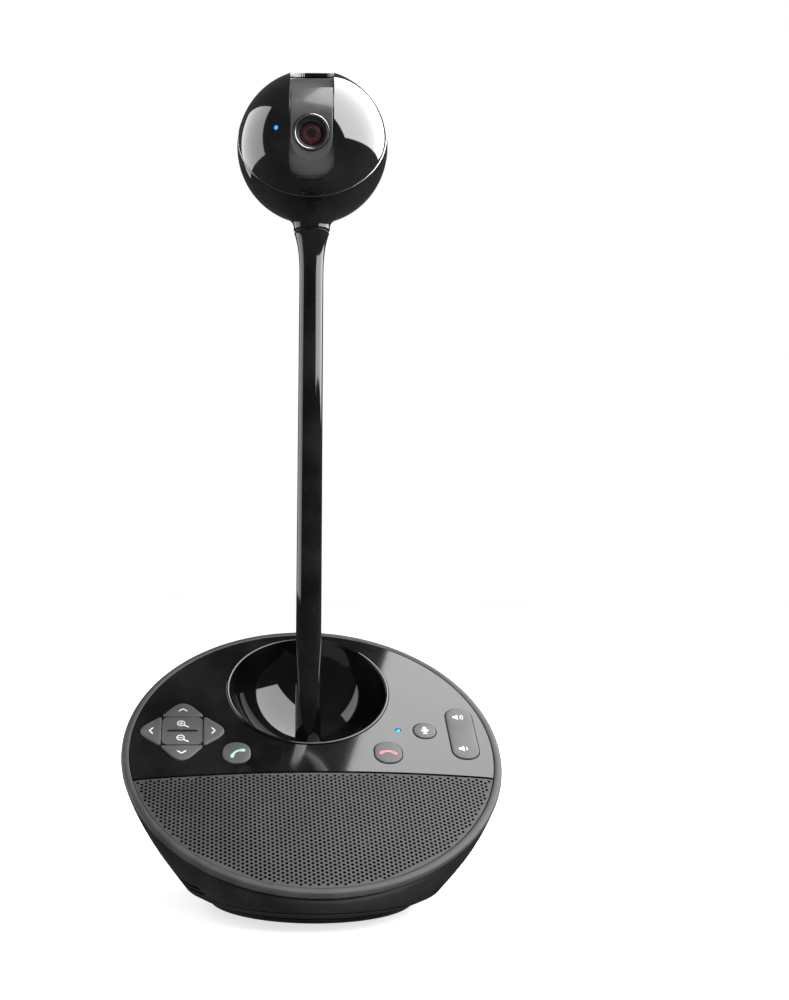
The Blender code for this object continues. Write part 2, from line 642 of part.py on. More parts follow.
def build_speaker(finishes, face):
    """The loudspeaker behind the grille: frame, magnet, cone and surround."""
    place_at = (0.0, SPEAKER_Y, 0.0)
    lip = SPEAKER_RADIUS
    top = -FACE_THICKNESS - 2.6 * MM
    back = top - SPEAKER_DEPTH
    wall = 1.2 * MM
    frame = [(lip - 3 * U, top - wall), (lip - 3 * U, top), (lip, top), (lip, top - wall - 0.4 * MM),
             (lip - 2 * U, top - wall - 0.4 * MM), (12 * U, back - wall), (6 * U, back - wall),
             (6 * U, back), (11 * U, back), (lip - 3.4 * U, top - wall - 0.6 * MM)]
    place(turned("speaker_frame", frame, finishes["zinc"]), face, place_at)
    magnet_top = back - wall - GAP
    magnet = [(0.0, magnet_top - 4 * MM), (11 * U, magnet_top - 4 * MM), (11 * U, magnet_top), (0.0, magnet_top)]
    place(turned("speaker_magnet", magnet, finishes["steel"]), face, place_at)
    edge = lip - 5.5 * U
    deep = back + 2 * MM
    skin = 0.5 * MM
    cone = [(0.0, deep + 1.5 * MM), (4 * U, deep + 0.6 * MM), (5 * U, deep), (edge - 0.6 * MM, top - 0.4 * MM),
            (edge - 0.6 * MM, top + 0.1 * MM), (5 * U, deep + skin), (4 * U, deep + 1.2 * MM),
            (0.0, deep + 2.2 * MM)]
    place(turned("speaker_cone", cone, finishes["paper_black"]), face, place_at)
    outer = lip - 1.2 * U
    low = top + GAP
    crown = (edge + outer) / 2
    roll = [(edge, low), (edge + 1.4 * MM, low), (crown, low + 0.9 * MM), (outer - 1 * MM, low), (outer, low),
            (outer, low + 0.5 * MM), (crown, low + 1.5 * MM), (edge, low + 0.5 * MM)]
    place(turned("speaker_surround", roll, finishes["rubber"]), face, place_at)


def key_layer(name, low, high, material, face):
    """A sheet under the keys, cut away around the bowl."""
    corners = [(-61, -11), (61, -11), (66, 2), (66, 22), (60, 29), (-60, 29), (-66, 22), (-66, 2)]
    sheet = place(plate(name, [(x * U, y * U) for x, y in corners], low, high, material), face)
    cutter = plate(f"{name}_cutter", circle(BOWL_OUTER + BOWL_WALL, 32, (0.0, BOWL_FACE_Y)),
                   low - FACE_THICKNESS, high + FACE_THICKNESS)
    boolean(sheet, place(cutter, face))
    return sheet


def build_boards(finishes, face, stem):
    """The key mat and key board under the panel, the microphone, and the main board."""
    mat_top = -KEY_DEPTH - KEY_TRAVEL_ROOM
    board_top = mat_top - MAT_THICKNESS - 1.4 * MM
    mat = key_layer("key_mat", mat_top - MAT_THICKNESS, mat_top, finishes["rubber"], face)
    led_hole = plate("mat_cutter", circle(LED_RADIUS + KEY_CLEARANCE, SMALL_STEPS, PANEL_LED),
                     2 * mat_top, FACE_THICKNESS)
    boolean(mat, place(led_hole, face))
    key_layer("key_board", board_top - BOARD_THICKNESS, board_top, finishes["board_green"], face)
    capsule = [(0.0, board_top + GAP), (2 * MM, board_top + GAP), (2 * MM, board_top + 1.1 * MM),
               (0.0, board_top + 1.1 * MM)]
    place(turned("microphone", capsule, finishes["zinc"], SMALL_STEPS), face, (0.0, -7.5 * U, 0.0))
    lamp = [(0.0, board_top + GAP), (LED_RADIUS, board_top + GAP), (LED_RADIUS, 0.0), (0.0, 0.1 * MM)]
    place(turned("panel_led", lamp, finishes["lamp_blue"], SMALL_STEPS), face, (*PANEL_LED, 0.0))
    low = BALLAST_TOP + 2 * MM
    outline = rounded_box((62 * U, 34 * U), 3 * U, 3, (0.0, STEM_Y - 8 * U))
    plate("main_board", outline, low, low + BOARD_THICKNESS, finishes["board_green"])


def build_ports(finishes):
    """The rear bay in the housing and the three sockets in it."""
    half, tall = BAY_WIDTH / 2, BAY_HEIGHT / 2
    back = BAY_FLOOR_Y - BAY_WALL
    bay = block("port_bay", (-half, back, BAY_Z - tall), (half, 2 * FACE_RADIUS, BAY_Z + tall),
                finishes["satin_black"])
    angles = [math.tau * i / BASE_STEPS for i in range(BASE_STEPS)]
    rings = [[flank_point(angle, share / 5, 0.05 * MM) for angle in angles] for share in range(6)]
    boolean(bay, lofted("flank_tool", rings), "INTERSECT")
    pocket = block("pocket_cutter", (-half + BAY_WALL, BAY_FLOOR_Y, BAY_Z - tall + BAY_WALL),
                   (half - BAY_WALL, 3 * FACE_RADIUS, BAY_Z + tall - BAY_WALL))
    boolean(bay, pocket)
    frame = make_frame("port_frame", (0.0, BAY_FLOOR_Y, BAY_Z), (-math.pi / 2, 0.0, 0.0))
    usb = (7.8 * U, 4.2 * U)
    ports = (("usb_port", -11 * U, usb, "zinc"), ("power_jack", 1 * U, (7.2 * U, 7.2 * U), "satin_black"),
             ("headset_jack", 12 * U, (6.0 * U, 6.0 * U), "copper"))
    for name, across, size, colour in ports:
        soft = 0.08 if size == usb else 0.49
        port = plate(name, port_outline(size, soft, 0.0), -PORT_LENGTH, 0.6 * MM, finishes[colour])
        place(port, frame, (across, 0.0, 0.0))
        mouth = plate(f"{name}_cutter", port_outline(size, soft, -1.2 * U), -0.7 * PORT_LENGTH, PORT_LENGTH)
        boolean(port, place(mouth, frame, (across, 0.0, 0.0)))
        opening = plate(f"{name}_opening", port_outline(size, soft, GAP), -2 * PORT_LENGTH, PORT_LENGTH)
        boolean(bay, place(opening, frame, (across, 0.0, 0.0)))


def port_outline(size, soft, grow):
    """A socket's outline, with each side moved out by grow. Soft is the corner radius as a share of the height."""
    width, height = size[0] + 2 * grow, size[1] + 2 * grow
    return rounded_box((width, height), soft * height, 5)


# --- Keys -----------------------------------------------------------------------------------------

def build_key(name, outline, centre, finishes, face):
    """One key: it stands a little proud of the panel, with a chamfered edge."""
    key = plate(name, outline, -KEY_DEPTH, KEY_STAND, finishes["key_grey"], KEY_CHAMFER)
    return place(key, face, (*centre, 0.0))


def build_keys(finishes, face):
    """The pad with its zoom rocker, the call keys, the mute key and the volume rocker."""
    for side, name in enumerate(("tilt_up_key", "pan_left_key", "tilt_down_key", "pan_right_key")):
        outline = petal_outline(side, PAD_REACH, PETAL_HALF, ZOOM_HALF + KEY_CLEARANCE)
        build_key(name, outline, PAD_CENTRE, finishes, face)
    zoom = build_key("zoom_rocker", rounded_box((2 * ZOOM_HALF, 2 * ZOOM_HALF), 2.6 * U), PAD_CENTRE,
                     finishes, face)
    groove = block("groove_cutter", (-6.2 * U, -0.6 * U, 0.0), (6.2 * U, 0.6 * U, 2 * KEY_STAND))
    boolean(zoom, place(groove, face, (*PAD_CENTRE, 0.0)))
    call = rounded_box(CALL_KEY_SIZE, 0.46 * CALL_KEY_SIZE[0], 5)
    build_key("answer_key", call, (-CALL_KEY_X, CALL_KEY_Y), finishes, face)
    build_key("hangup_key", call, (CALL_KEY_X, CALL_KEY_Y), finishes, face)
    build_key("mute_key", rounded_box(MUTE_SIZE, 0.46 * MUTE_SIZE[0], 5), MUTE_CENTRE, finishes, face)
    volume = rounded_box(VOLUME_SIZE, 0.46 * VOLUME_SIZE[0], 5)
    build_key("volume_rocker", volume, VOLUME_CENTRE, finishes, face)


# --- Stem and neck --------------------------------------------------------------------------------

def flare_radius(height):
    """Outer radius of the stem's flare, and of the neck above it, at a height near the seam."""
    share = max(0.0, 1 - (SEAM_Z - height) / FLARE_LENGTH)
    return STEM_TOP_RADIUS + (FLARE_RADIUS - STEM_TOP_RADIUS) * share ** 3.2


def build_stem(finishes, stem):
    """The stem: its tube, the plug at its foot and the cable inside."""
    step = BOWL_FLOOR_Z - PLUG_COLLAR_HEIGHT
    tube_low = BOWL_FLOOR_Z - TUBE_SEAT
    deep = SEAM_Z - NECK_PLUG_LENGTH - 2 * GAP
    wide = NECK_PLUG_RADIUS + GAP
    heights = [SEAM_Z - FLARE_LENGTH * (1 - i / 6) for i in range(7)]
    outer = [(STEM_RADIUS, tube_low)] + [(flare_radius(height), height) for height in heights]
    inner = [(wide, SEAM_Z), (wide, deep), (STEM_BORE, deep - 1 * MM), (STEM_BORE, tube_low)]
    place(turned("stem_tube", outer + inner, finishes["gloss_black"]), stem)
    seat = STEM_RADIUS + GAP
    low = step - PLUG_DEPTH
    soft = 0.6 * MM
    profile = [(2 * MM, low), (PLUG_RADIUS - soft, low), (PLUG_RADIUS, low + soft), (PLUG_RADIUS, step),
               (PLUG_COLLAR, step), (PLUG_COLLAR, BOWL_FLOOR_Z - soft), (PLUG_COLLAR - soft, BOWL_FLOOR_Z),
               (seat, BOWL_FLOOR_Z), (seat, tube_low - GAP), (2 * MM, tube_low - GAP)]
    place(turned("stem_plug", profile, finishes["satin_black"]), stem)
    wire = [(0.0, low + 2 * MM), (1.3 * MM, low + 2 * MM), (1.3 * MM, deep - 1 * MM), (0.0, deep - 1 * MM)]
    place(turned("stem_wire", wire, finishes["rubber"], SMALL_STEPS), stem)


def build_neck(finishes, stem):
    """The camera's plug in the top of the stem, with the pan motor inside it."""
    low = SEAM_Z - NECK_PLUG_LENGTH
    bore = NECK_PLUG_RADIUS - NECK_PLUG_WALL
    flange = SEAM_Z + GAP
    top = flange + NECK_FLANGE_HEIGHT
    profile = [(bore, low), (NECK_PLUG_RADIUS, low), (NECK_PLUG_RADIUS, flange), (NECK_FLANGE, flange),
               (NECK_FLANGE, top), (bore, top)]
    place(turned("neck_plug", profile, finishes["satin_black"]), stem)
    can = bore - GAP
    hole = PAN_SHAFT_RADIUS + SHAFT_CLEARANCE
    motor = [(0.0, low + 1 * MM), (can, low + 1 * MM), (can, flange), (hole, flange), (hole, low + 4 * MM),
             (0.0, low + 4 * MM)]
    place(turned("pan_motor", motor, finishes["zinc"], 16), stem)


# --- Ball head ------------------------------------------------------------------------------------

def sphere_arc(radius, start, end, steps):
    """Profile points (radius, height) of a sphere between two angles from its top."""
    angles = [start + (end - start) * i / steps for i in range(steps + 1)]
    return [(radius * math.sin(a), radius * math.cos(a)) for a in angles]


def build_cup(finishes, head):
    """The rear shell of the ball with the flared neck below it."""
    rise = HEAD_BOTTOM - BALL_Z
    throat = PAN_SHAFT_RADIUS + SHAFT_CLEARANCE
    meet = math.pi - math.asin(NECK_MEET / BALL_RADIUS)
    outer = sphere_arc(BALL_RADIUS, 0.0, meet, 15)
    outer[0] = (0.0, BALL_RADIUS)
    sphere_low = outer[-1][1]
    neck = []
    for i in range(1, 6):
        share = i / 5
        height = sphere_low + (rise - sphere_low) * share
        radius = FLARE_RADIUS + 0.2 * MM + (NECK_MEET - FLARE_RADIUS - 0.2 * MM) * (1 - share) ** 3.2
        neck.append((radius, height))
    floor_angle = math.pi - math.asin(throat / BALL_INNER)
    inner = sphere_arc(BALL_INNER, floor_angle, 0.0, 15)
    inner[-1] = (0.0, BALL_INNER)
    cup = turned("head_cup", outer + neck + [(throat, rise)] + inner, finishes["gloss_black"], BALL_STEPS)
    place(cup, head)
    size = 2 * BALL_RADIUS
    cutter = block("split_cutter", (-size, -size, SPLIT_OFFSET - TRIM_WIDTH / 2 - GAP / 2), (size, size, size))
    lean = (math.pi / 2 - SPLIT_LEAN, 0.0, 0.0)
    return boolean(cup, place(cutter, head, (0.0, 0.0, 0.0), lean))


def build_dome(finishes, head):
    """The front shell of the ball, its slot and the thin trim ring behind it."""
    lean = (math.pi / 2 - SPLIT_LEAN, 0.0, 0.0)
    edge = SPLIT_OFFSET + TRIM_WIDTH / 2 + GAP / 2
    outer = sphere_arc(BALL_RADIUS, math.acos(edge / BALL_RADIUS), 0.0, 12)
    outer[-1] = (0.0, BALL_RADIUS)
    inner = sphere_arc(BALL_INNER, 0.0, math.acos(edge / BALL_INNER), 12)
    inner[0] = (0.0, BALL_INNER)
    dome = turned("head_dome", list(reversed(inner)) + list(reversed(outer)), finishes["gloss_black"], BALL_STEPS)
    dome.data.flip_normals()
    place(dome, head, (0.0, 0.0, 0.0), lean)
    slot = curved_strip("slot_cutter", SLOT_HALF_WIDTH, 0.75 * BALL_RADIUS, 1.2 * BALL_RADIUS,
                        SLOT_LOW, SLOT_HIGH, True, True)
    boolean(dome, place(slot, head))
    low, high = SPLIT_OFFSET - TRIM_WIDTH / 2 + GAP / 2, SPLIT_OFFSET + TRIM_WIDTH / 2 - GAP / 2
    reach = math.sqrt(BALL_RADIUS ** 2 - SPLIT_OFFSET ** 2)
    trim = [(reach - 1.2 * MM, low), (reach + 0.1 * MM, low), (reach + 0.1 * MM, high), (reach - 1.2 * MM, high)]
    place(turned("dome_trim", trim, finishes["zinc"], BALL_STEPS), head, (0.0, 0.0, 0.0), lean)
    aim = Vector((math.sin(HEAD_LED_TURN) * math.cos(HEAD_LED_LIFT),
                  -math.cos(HEAD_LED_TURN) * math.cos(HEAD_LED_LIFT), math.sin(HEAD_LED_LIFT)))
    turn = aim.to_track_quat("Z", "Y").to_euler()
    lamp = [(0.0, BALL_INNER - 2 * MM), (LED_RADIUS, BALL_INNER - 2 * MM), (LED_RADIUS, BALL_RADIUS - 0.1 * MM),
            (0.0, BALL_RADIUS)]
    place(turned("head_led", lamp, finishes["lamp_blue"], SMALL_STEPS), head, (0.0, 0.0, 0.0), turn)
    hole = rods("head_led_cutter", [(0.0, 0.0)], LED_RADIUS + GAP, 0.8 * BALL_RADIUS, 1.2 * BALL_RADIUS)
    return boolean(dome, place(hole, head, (0.0, 0.0, 0.0), turn))


def build_head_inside(finishes, head):
    """The pan shaft, the tilt brackets and pins, the tilt motor and the head's board."""
    low = SEAM_Z - NECK_PLUG_LENGTH + 5 * MM - BALL_Z
    high = -BALL_INNER - 0.2 * MM
    shaft = [(0.0, low), (PAN_SHAFT_RADIUS, low), (PAN_SHAFT_RADIUS, high), (0.0, high)]
    place(turned("pan_shaft", shaft, finishes["steel"], 16), head)
    side_turn = (math.pi / 2, 0.0, math.pi / 2)
    rear = math.sqrt(BALL_INNER ** 2 - (BRACKET_X + ARM_THICKNESS) ** 2) - 2 * GAP
    half = HUB_RADIUS
    bar = [(rear * math.cos(a), rear * math.sin(a)) for a in (-0.14, 0.0, 0.14)]
    hub = [(half * math.cos(a), half * math.sin(a)) for a in [math.pi * (0.5 + i / 8) for i in range(9)]]
    for side, name in ((-1, "left"), (1, "right")):
        low_x, high_x = BRACKET_X, BRACKET_X + ARM_THICKNESS
        span = (low_x, high_x) if side > 0 else (-high_x, -low_x)
        bracket = plate(f"tilt_bracket_{name}", bar + hub, *span, finishes["zinc"])
        place(bracket, head, (0.0, 0.0, 0.0), side_turn)
        hole = rods(f"bracket_cutter_{name}", [(0.0, 0.0)], PIN_RADIUS + PIN_CLEARANCE, -BALL_RADIUS, BALL_RADIUS, 16)
        boolean(bracket, place(hole, head, (0.0, 0.0, 0.0), side_turn))
        ends = (side * (ARM_X - 0.8 * MM), side * (high_x + 0.6 * MM))
        pin = [(0.0, min(ends)), (PIN_RADIUS, min(ends)), (PIN_RADIUS, max(ends)), (0.0, max(ends))]
        place(turned(f"tilt_pin_{name}", pin, finishes["steel"], 16), head, (0.0, 0.0, 0.0), side_turn)
    motor_at = motor_place()
    motor_end = GEAR_X - GAP
    motor = [(0.0, motor_end - MOTOR_LENGTH), (MOTOR_RADIUS, motor_end - MOTOR_LENGTH), (MOTOR_RADIUS, motor_end),
             (0.0, motor_end)]
    place(turned("tilt_motor", motor, finishes["zinc"]), head, motor_at, side_turn)
    board_y = motor_at[1] + MOTOR_RADIUS + 1.5 * MM
    block_low = (-10 * B, board_y, -9 * B)
    block_high = (10 * B, board_y + BOARD_THICKNESS, 8 * B)
    place(block("head_board", block_low, block_high, finishes["board_green"]), head)


def motor_place():
    """The tilt motor's shaft in the head's frame: behind the tilt axis and a little lower."""
    return (0.0, GEAR_CENTRES * math.cos(MOTOR_DROP), -GEAR_CENTRES * math.sin(MOTOR_DROP))


def build_gears(finishes, head, lens):
    """The gear on the carriage and the motor's pinion, in mesh."""
    side_turn = (math.pi / 2, 0.0, math.pi / 2)
    gear = plate("tilt_gear", gear_outline(GEAR_TEETH, GEAR_MODULE, GEAR_BACKLASH), GEAR_X,
                 GEAR_X + GEAR_THICKNESS, finishes["nylon_white"])
    spoke = -MOTOR_DROP - LENS_TILT
    place(gear, lens, (0.0, 0.0, 0.0), side_turn)
    gear.data.transform(Matrix.Rotation(spoke, 4, "Z"))
    hole = rods("gear_cutter", [(0.0, 0.0)], PIN_RADIUS + PIN_CLEARANCE, -BALL_RADIUS, BALL_RADIUS, 16)
    boolean(gear, place(hole, lens, (0.0, 0.0, 0.0), side_turn))
    pinion = plate("tilt_pinion", gear_outline(PINION_TEETH, GEAR_MODULE, GEAR_BACKLASH), GEAR_X,
                   GEAR_X + GEAR_THICKNESS, finishes["nylon_white"])
    half_tooth = math.pi / PINION_TEETH
    pinion.data.transform(Matrix.Rotation(math.pi - MOTOR_DROP + half_tooth, 4, "Z"))
    place(pinion, head, motor_place(), side_turn)


# --- Lens carriage --------------------------------------------------------------------------------

def build_carriage(finishes, lens):
    """The curved shield with the two arms that hang it on the tilt pins."""
    margin = math.radians(1.5)
    low = SLOT_LOW - TILT_UP - margin + LENS_TILT
    high = SLOT_HIGH + TILT_DOWN + margin + LENS_TILT
    inner = SHIELD_RADIUS - SHIELD_THICKNESS
    carriage = curved_strip("lens_carriage", SHIELD_HALF, inner, SHIELD_RADIUS, low, high, False, False,
                            finishes["satin_black"], 28)
    place(carriage, lens)
    side_turn = (math.pi / 2, 0.0, math.pi / 2)
    reach = SHIELD_RADIUS - SHIELD_THICKNESS / 2
    spread = math.radians(28.0)
    fan = [math.pi - spread + 2 * spread * i / 6 for i in range(7)]
    hub = [-math.pi / 2 + math.pi * i / 8 for i in range(9)]
    outline = [(reach * math.cos(a), reach * math.sin(a)) for a in fan]
    outline += [(HUB_RADIUS * math.cos(a), HUB_RADIUS * math.sin(a)) for a in hub]
    for side, name in ((-1, "left"), (1, "right")):
        near, far = side * ARM_X, side * (SHIELD_HALF - 0.02 * MM)
        arm = plate(f"arm_tool_{name}", outline, min(near, far), max(near, far))
        boolean(carriage, place(arm, lens, (0.0, 0.0, 0.0), side_turn), "UNION")
    pivot = rods("pivot_cutter", [(0.0, 0.0)], PIN_RADIUS + PIN_CLEARANCE, -BALL_RADIUS, BALL_RADIUS, 16)
    boolean(carriage, place(pivot, lens, (0.0, 0.0, 0.0), side_turn))
    front = (math.pi / 2, 0.0, 0.0)
    bore = rods("lens_cutter", [(0.0, 0.0)], LENS_RING_RADIUS - 0.2 * MM, 0.5 * BALL_RADIUS, 1.2 * BALL_RADIUS,
                ROUND_STEPS)
    boolean(carriage, place(bore, lens, (0.0, 0.0, 0.0), front))
    bezel = curved_strip("lens_bezel", BEZEL_HALF, SHIELD_RADIUS + GAP, BEZEL_RADIUS, BEZEL_LOW + LENS_TILT,
                         BEZEL_HIGH + LENS_TILT, True, False, finishes["gloss_black"])
    place(bezel, lens)
    mouth = rods("bezel_cutter", [(0.0, 0.0)], LENS_RING_RADIUS + GAP, 0.5 * BALL_RADIUS, 1.2 * BALL_RADIUS,
                 ROUND_STEPS)
    return boolean(bezel, place(mouth, lens, (0.0, 0.0, 0.0), front))


def build_lens(finishes, lens):
    """The lens barrel, its bright ring, the front glass and the sensor board."""
    front = (math.pi / 2, 0.0, 0.0)
    body = LENS_RING_RADIUS - 0.2 * MM - GAP
    face = math.sqrt(BEZEL_RADIUS ** 2 - LENS_RING_RADIUS ** 2) + LENS_RING_STAND
    back = face - LENS_BARREL_LENGTH
    ring_low = face - 0.7 * MM
    throat = LENS_GLASS_RADIUS + GAP
    barrel = [(0.0, back), (body - 1.5 * MM, back), (body, back + 2 * MM), (body, ring_low - GAP),
              (LENS_RING_RADIUS - LENS_RING_WIDTH - GAP, ring_low - GAP),
              (LENS_RING_RADIUS - LENS_RING_WIDTH - GAP, face - 0.5 * MM), (throat + 0.4 * MM, face - 1.8 * MM),
              (throat + 0.4 * MM, face - 2.2 * MM), (throat, face - 2.6 * MM), (throat, face - 5.2 * MM),
              (0.0, face - 5.2 * MM)]
    place(turned("lens_barrel", barrel, finishes["satin_black"], 32), lens, (0.0, 0.0, 0.0), front)
    inner = LENS_RING_RADIUS - LENS_RING_WIDTH
    ring = [(inner, ring_low), (LENS_RING_RADIUS - 0.3 * MM, ring_low), (LENS_RING_RADIUS, ring_low + 0.3 * MM),
            (LENS_RING_RADIUS - 0.2 * MM, face - 0.1 * MM), (LENS_RING_RADIUS - 0.5 * MM, face), (inner, face - 0.2 * MM)]
    place(turned("lens_ring", ring, finishes["zinc"], 32), lens, (0.0, 0.0, 0.0), front)
    low = face - 5.2 * MM + GAP
    rim = low + 1.2 * MM
    swell = 1.4 * MM
    dome = [(LENS_GLASS_RADIUS * math.sin(math.pi / 2 * i / 5), rim + swell * math.cos(math.pi / 2 * i / 5))
            for i in range(6)]
    glass = [(0.0, low), (LENS_GLASS_RADIUS, low)] + list(reversed(dome))
    glass[-1] = (0.0, rim + swell)
    place(turned("lens_glass", glass, finishes["lens_glass"]), lens, (0.0, 0.0, 0.0), front)
    half = body + 0.4 * MM
    board_low = -(back - 1 * MM)
    sensor = block("sensor_board", (-half, board_low, -half), (half, board_low + BOARD_THICKNESS, half),
                   finishes["board_green"])
    place(sensor, lens)


def main():
    """Build the whole model."""
    for obj in list(bpy.data.objects):
        bpy.data.objects.remove(obj, do_unlink=True)
    finishes = make_finishes()
    face = make_frame("face_frame", (0.0, FACE_Y, FACE_Z), (FACE_TILT, 0.0, 0.0))
    stem = make_frame("stem_frame", (0.0, STEM_Y, 0.0))
    head = make_frame("head_frame", (0.0, 0.0, BALL_Z), (0.0, 0.0, HEAD_PAN), stem)
    lens = make_frame("lens_frame", (0.0, 0.0, 0.0), (LENS_TILT, 0.0, 0.0), head)
    build_housing(finishes)
    build_rim(finishes, face)
    build_panel(finishes, face)
    build_grille(finishes, face)
    build_bowl(finishes, face)
    build_socket(finishes, stem)
    build_tray(finishes)
    build_bottom_pieces(finishes)
    build_speaker(finishes, face)
    build_boards(finishes, face, stem)
    build_ports(finishes)
    build_keys(finishes, face)
    build_stem(finishes, stem)
    build_neck(finishes, stem)
    build_cup(finishes, head)
    build_dome(finishes, head)
    build_head_inside(finishes, head)
    build_gears(finishes, head, lens)
    build_carriage(finishes, lens)
    build_lens(finishes, lens)


main()
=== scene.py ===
"""Conference camera on a stem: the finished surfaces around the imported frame, the light and the camera."""
import json
import logging
import math
from dataclasses import dataclass, field
from enum import Enum
from typing import Callable, Iterable, Sequence

import bmesh
import bpy
from mathutils import Matrix, Vector
from mathutils.geometry import delaunay_2d_cdt


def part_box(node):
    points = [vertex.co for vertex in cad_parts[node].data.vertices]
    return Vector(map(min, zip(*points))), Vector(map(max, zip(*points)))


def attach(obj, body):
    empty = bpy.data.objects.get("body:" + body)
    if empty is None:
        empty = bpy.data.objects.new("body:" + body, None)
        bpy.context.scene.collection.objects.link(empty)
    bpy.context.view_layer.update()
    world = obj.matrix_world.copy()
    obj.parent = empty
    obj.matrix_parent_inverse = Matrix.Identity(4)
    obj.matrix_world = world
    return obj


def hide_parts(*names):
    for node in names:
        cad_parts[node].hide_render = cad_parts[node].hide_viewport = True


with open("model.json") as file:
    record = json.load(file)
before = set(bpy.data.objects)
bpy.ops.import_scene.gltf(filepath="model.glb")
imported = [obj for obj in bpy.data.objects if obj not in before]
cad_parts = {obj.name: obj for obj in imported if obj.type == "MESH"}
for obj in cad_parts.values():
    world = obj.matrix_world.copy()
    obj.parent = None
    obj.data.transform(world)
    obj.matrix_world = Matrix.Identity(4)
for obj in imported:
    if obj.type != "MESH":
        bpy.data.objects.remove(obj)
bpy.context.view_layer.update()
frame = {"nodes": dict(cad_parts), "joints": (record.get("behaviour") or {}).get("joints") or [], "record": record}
LOG = logging.getLogger("scene")

Point = tuple[float, float]
Outline = list[Point]
Colour = tuple[float, float, float]
MM = 0.001
GAP = 0.3 * MM
# Sizes that more than one piece goes by.
PLATE = 2.4 * MM
PANEL_INSET = 3.5 * MM
SLOT_HALF = 9.25 * MM
BALL_WALL = 1.6 * MM
LAMP_RADIUS = 0.9 * MM
KEY_CORNER = 0.46
MERGE_DISTANCE = 1e-7
CDT_TOLERANCE = 1e-8
LEVEL_COSINE = 0.9999


# --- Shader expressions ---------------------------------------------------------------------------

class Wire:
    """A socket in a shader graph. Arithmetic on it adds Math nodes, or Vector Math nodes for vectors."""

    def __init__(self, graph: "Graph", socket: bpy.types.NodeSocket) -> None:
        """Keep the graph and the socket."""
        self.graph = graph
        self.socket = socket

    def _maths(self, operation: str, first: "Value", second: "Value") -> "Wire":
        """Add the node for one operation.

        Args:
            operation: The Math node's operation.
            first: Left-hand value.
            second: Right-hand value.

        Returns:
            The result's socket.
        """
        vector = self.socket.type == "VECTOR"
        kind = "ShaderNodeVectorMath" if vector else "ShaderNodeMath"
        return self.graph.node(kind, {"operation": operation}, {0: first, 1: second})

    def __add__(self, other: "Value") -> "Wire":
        """self + other."""
        return self._maths("ADD", self, other)

    def __radd__(self, other: "Value") -> "Wire":
        """other + self."""
        return self._maths("ADD", other, self)

    def __sub__(self, other: "Value") -> "Wire":
        """self - other."""
        return self._maths("SUBTRACT", self, other)

    def __rsub__(self, other: "Value") -> "Wire":
        """other - self."""
        return self._maths("SUBTRACT", other, self)

    def __mul__(self, other: "Value") -> "Wire":
        """self * other."""
        return self._maths("MULTIPLY", self, other)

    def __rmul__(self, other: "Value") -> "Wire":
        """other * self."""
        return self._maths("MULTIPLY", other, self)

    def between(self, low: float, high: float) -> "Wire":
        """A smooth step from 0 at low to 1 at high."""
        return self.graph.node("ShaderNodeMapRange", {"interpolation_type": "SMOOTHSTEP", "clamp": True},
                               {"Value": self, "From Min": low, "From Max": high})


Value = Wire | float | tuple[float, ...]


class Graph:
    """The node graph of one material."""

    def __init__(self, name: str) -> None:
        """Start a material that holds one Principled shader."""
        self.material = bpy.data.materials.new(name)
        self.material.use_nodes = True
        self.tree = self.material.node_tree
        self.shader = self.tree.nodes["Principled BSDF"]

    def node(self, kind: str, settings: dict[str, object], inputs: dict[int | str, Value],
             output: int | str = 0) -> Wire:
        """Add a node.

        Args:
            kind: Its type.
            settings: Its own settings, set before its sockets exist in their final form.
            inputs: Values or links by socket index or name.
            output: Which output to hand back.

        Returns:
            That output.
        """
        node = self.tree.nodes.new(kind)
        for name, value in settings.items():
            setattr(node, name, value)
        for key, value in inputs.items():
            self.feed(node.inputs[key], value)
        return Wire(self, node.outputs[output])

    def feed(self, socket: bpy.types.NodeSocket, value: Value) -> None:
        """Link a wire to a socket, or set the socket's own value."""
        if isinstance(value, Wire):
            self.tree.links.new(value.socket, socket)
        else:
            socket.default_value = value

    def place(self) -> Wire:
        """The point on the surface, in metres."""
        return self.node("ShaderNodeTexCoord", {}, {}, "Object")

    def noise(self, scale: float, detail: float = 3.0,
              stretch: tuple[float, float, float] | None = None) -> Wire:
        """Fractal noise.

        Args:
            scale: Features per metre.
            detail: Octaves.
            stretch: Factors on the three axes, for brushed or streaked surfaces.

        Returns:
            A value around 0.5.
        """
        where = self.place() * stretch if stretch else self.place()
        return self.node("ShaderNodeTexNoise", {}, {"Vector": where, "Scale": scale, "Detail": detail},
                         "Fac")

    def cells(self, scale: float) -> Wire:
        """Distance to the nearest of many scattered points, scale of them per metre."""
        return self.node("ShaderNodeTexVoronoi", {}, {"Vector": self.place(), "Scale": scale}, "Distance")

    def blend(self, mask: Wire, low: Colour, high: Colour) -> Wire:
        """A colour between low and high, by the mask."""
        return self.node("ShaderNodeMix", {"data_type": "RGBA"},
                         {0: mask, 6: (*low, 1.0), 7: (*high, 1.0)}, 2)

    def bump(self, height: Wire, depth: float) -> Wire:
        """A normal from a height of 0 to 1 that stands for depth in metres."""
        return self.node("ShaderNodeBump", {}, {"Height": height, "Strength": 1.0, "Distance": depth},
                         "Normal")

    def finish(self, **sockets: Value) -> bpy.types.Material:
        """Feed the shader's sockets, named with underscores for spaces, and hand back the material."""
        for name, value in sockets.items():
            self.feed(self.shader.inputs[name.replace("_", " ")], value)
        return self.material


# --- Finishes -------------------------------------------------------------------------------------

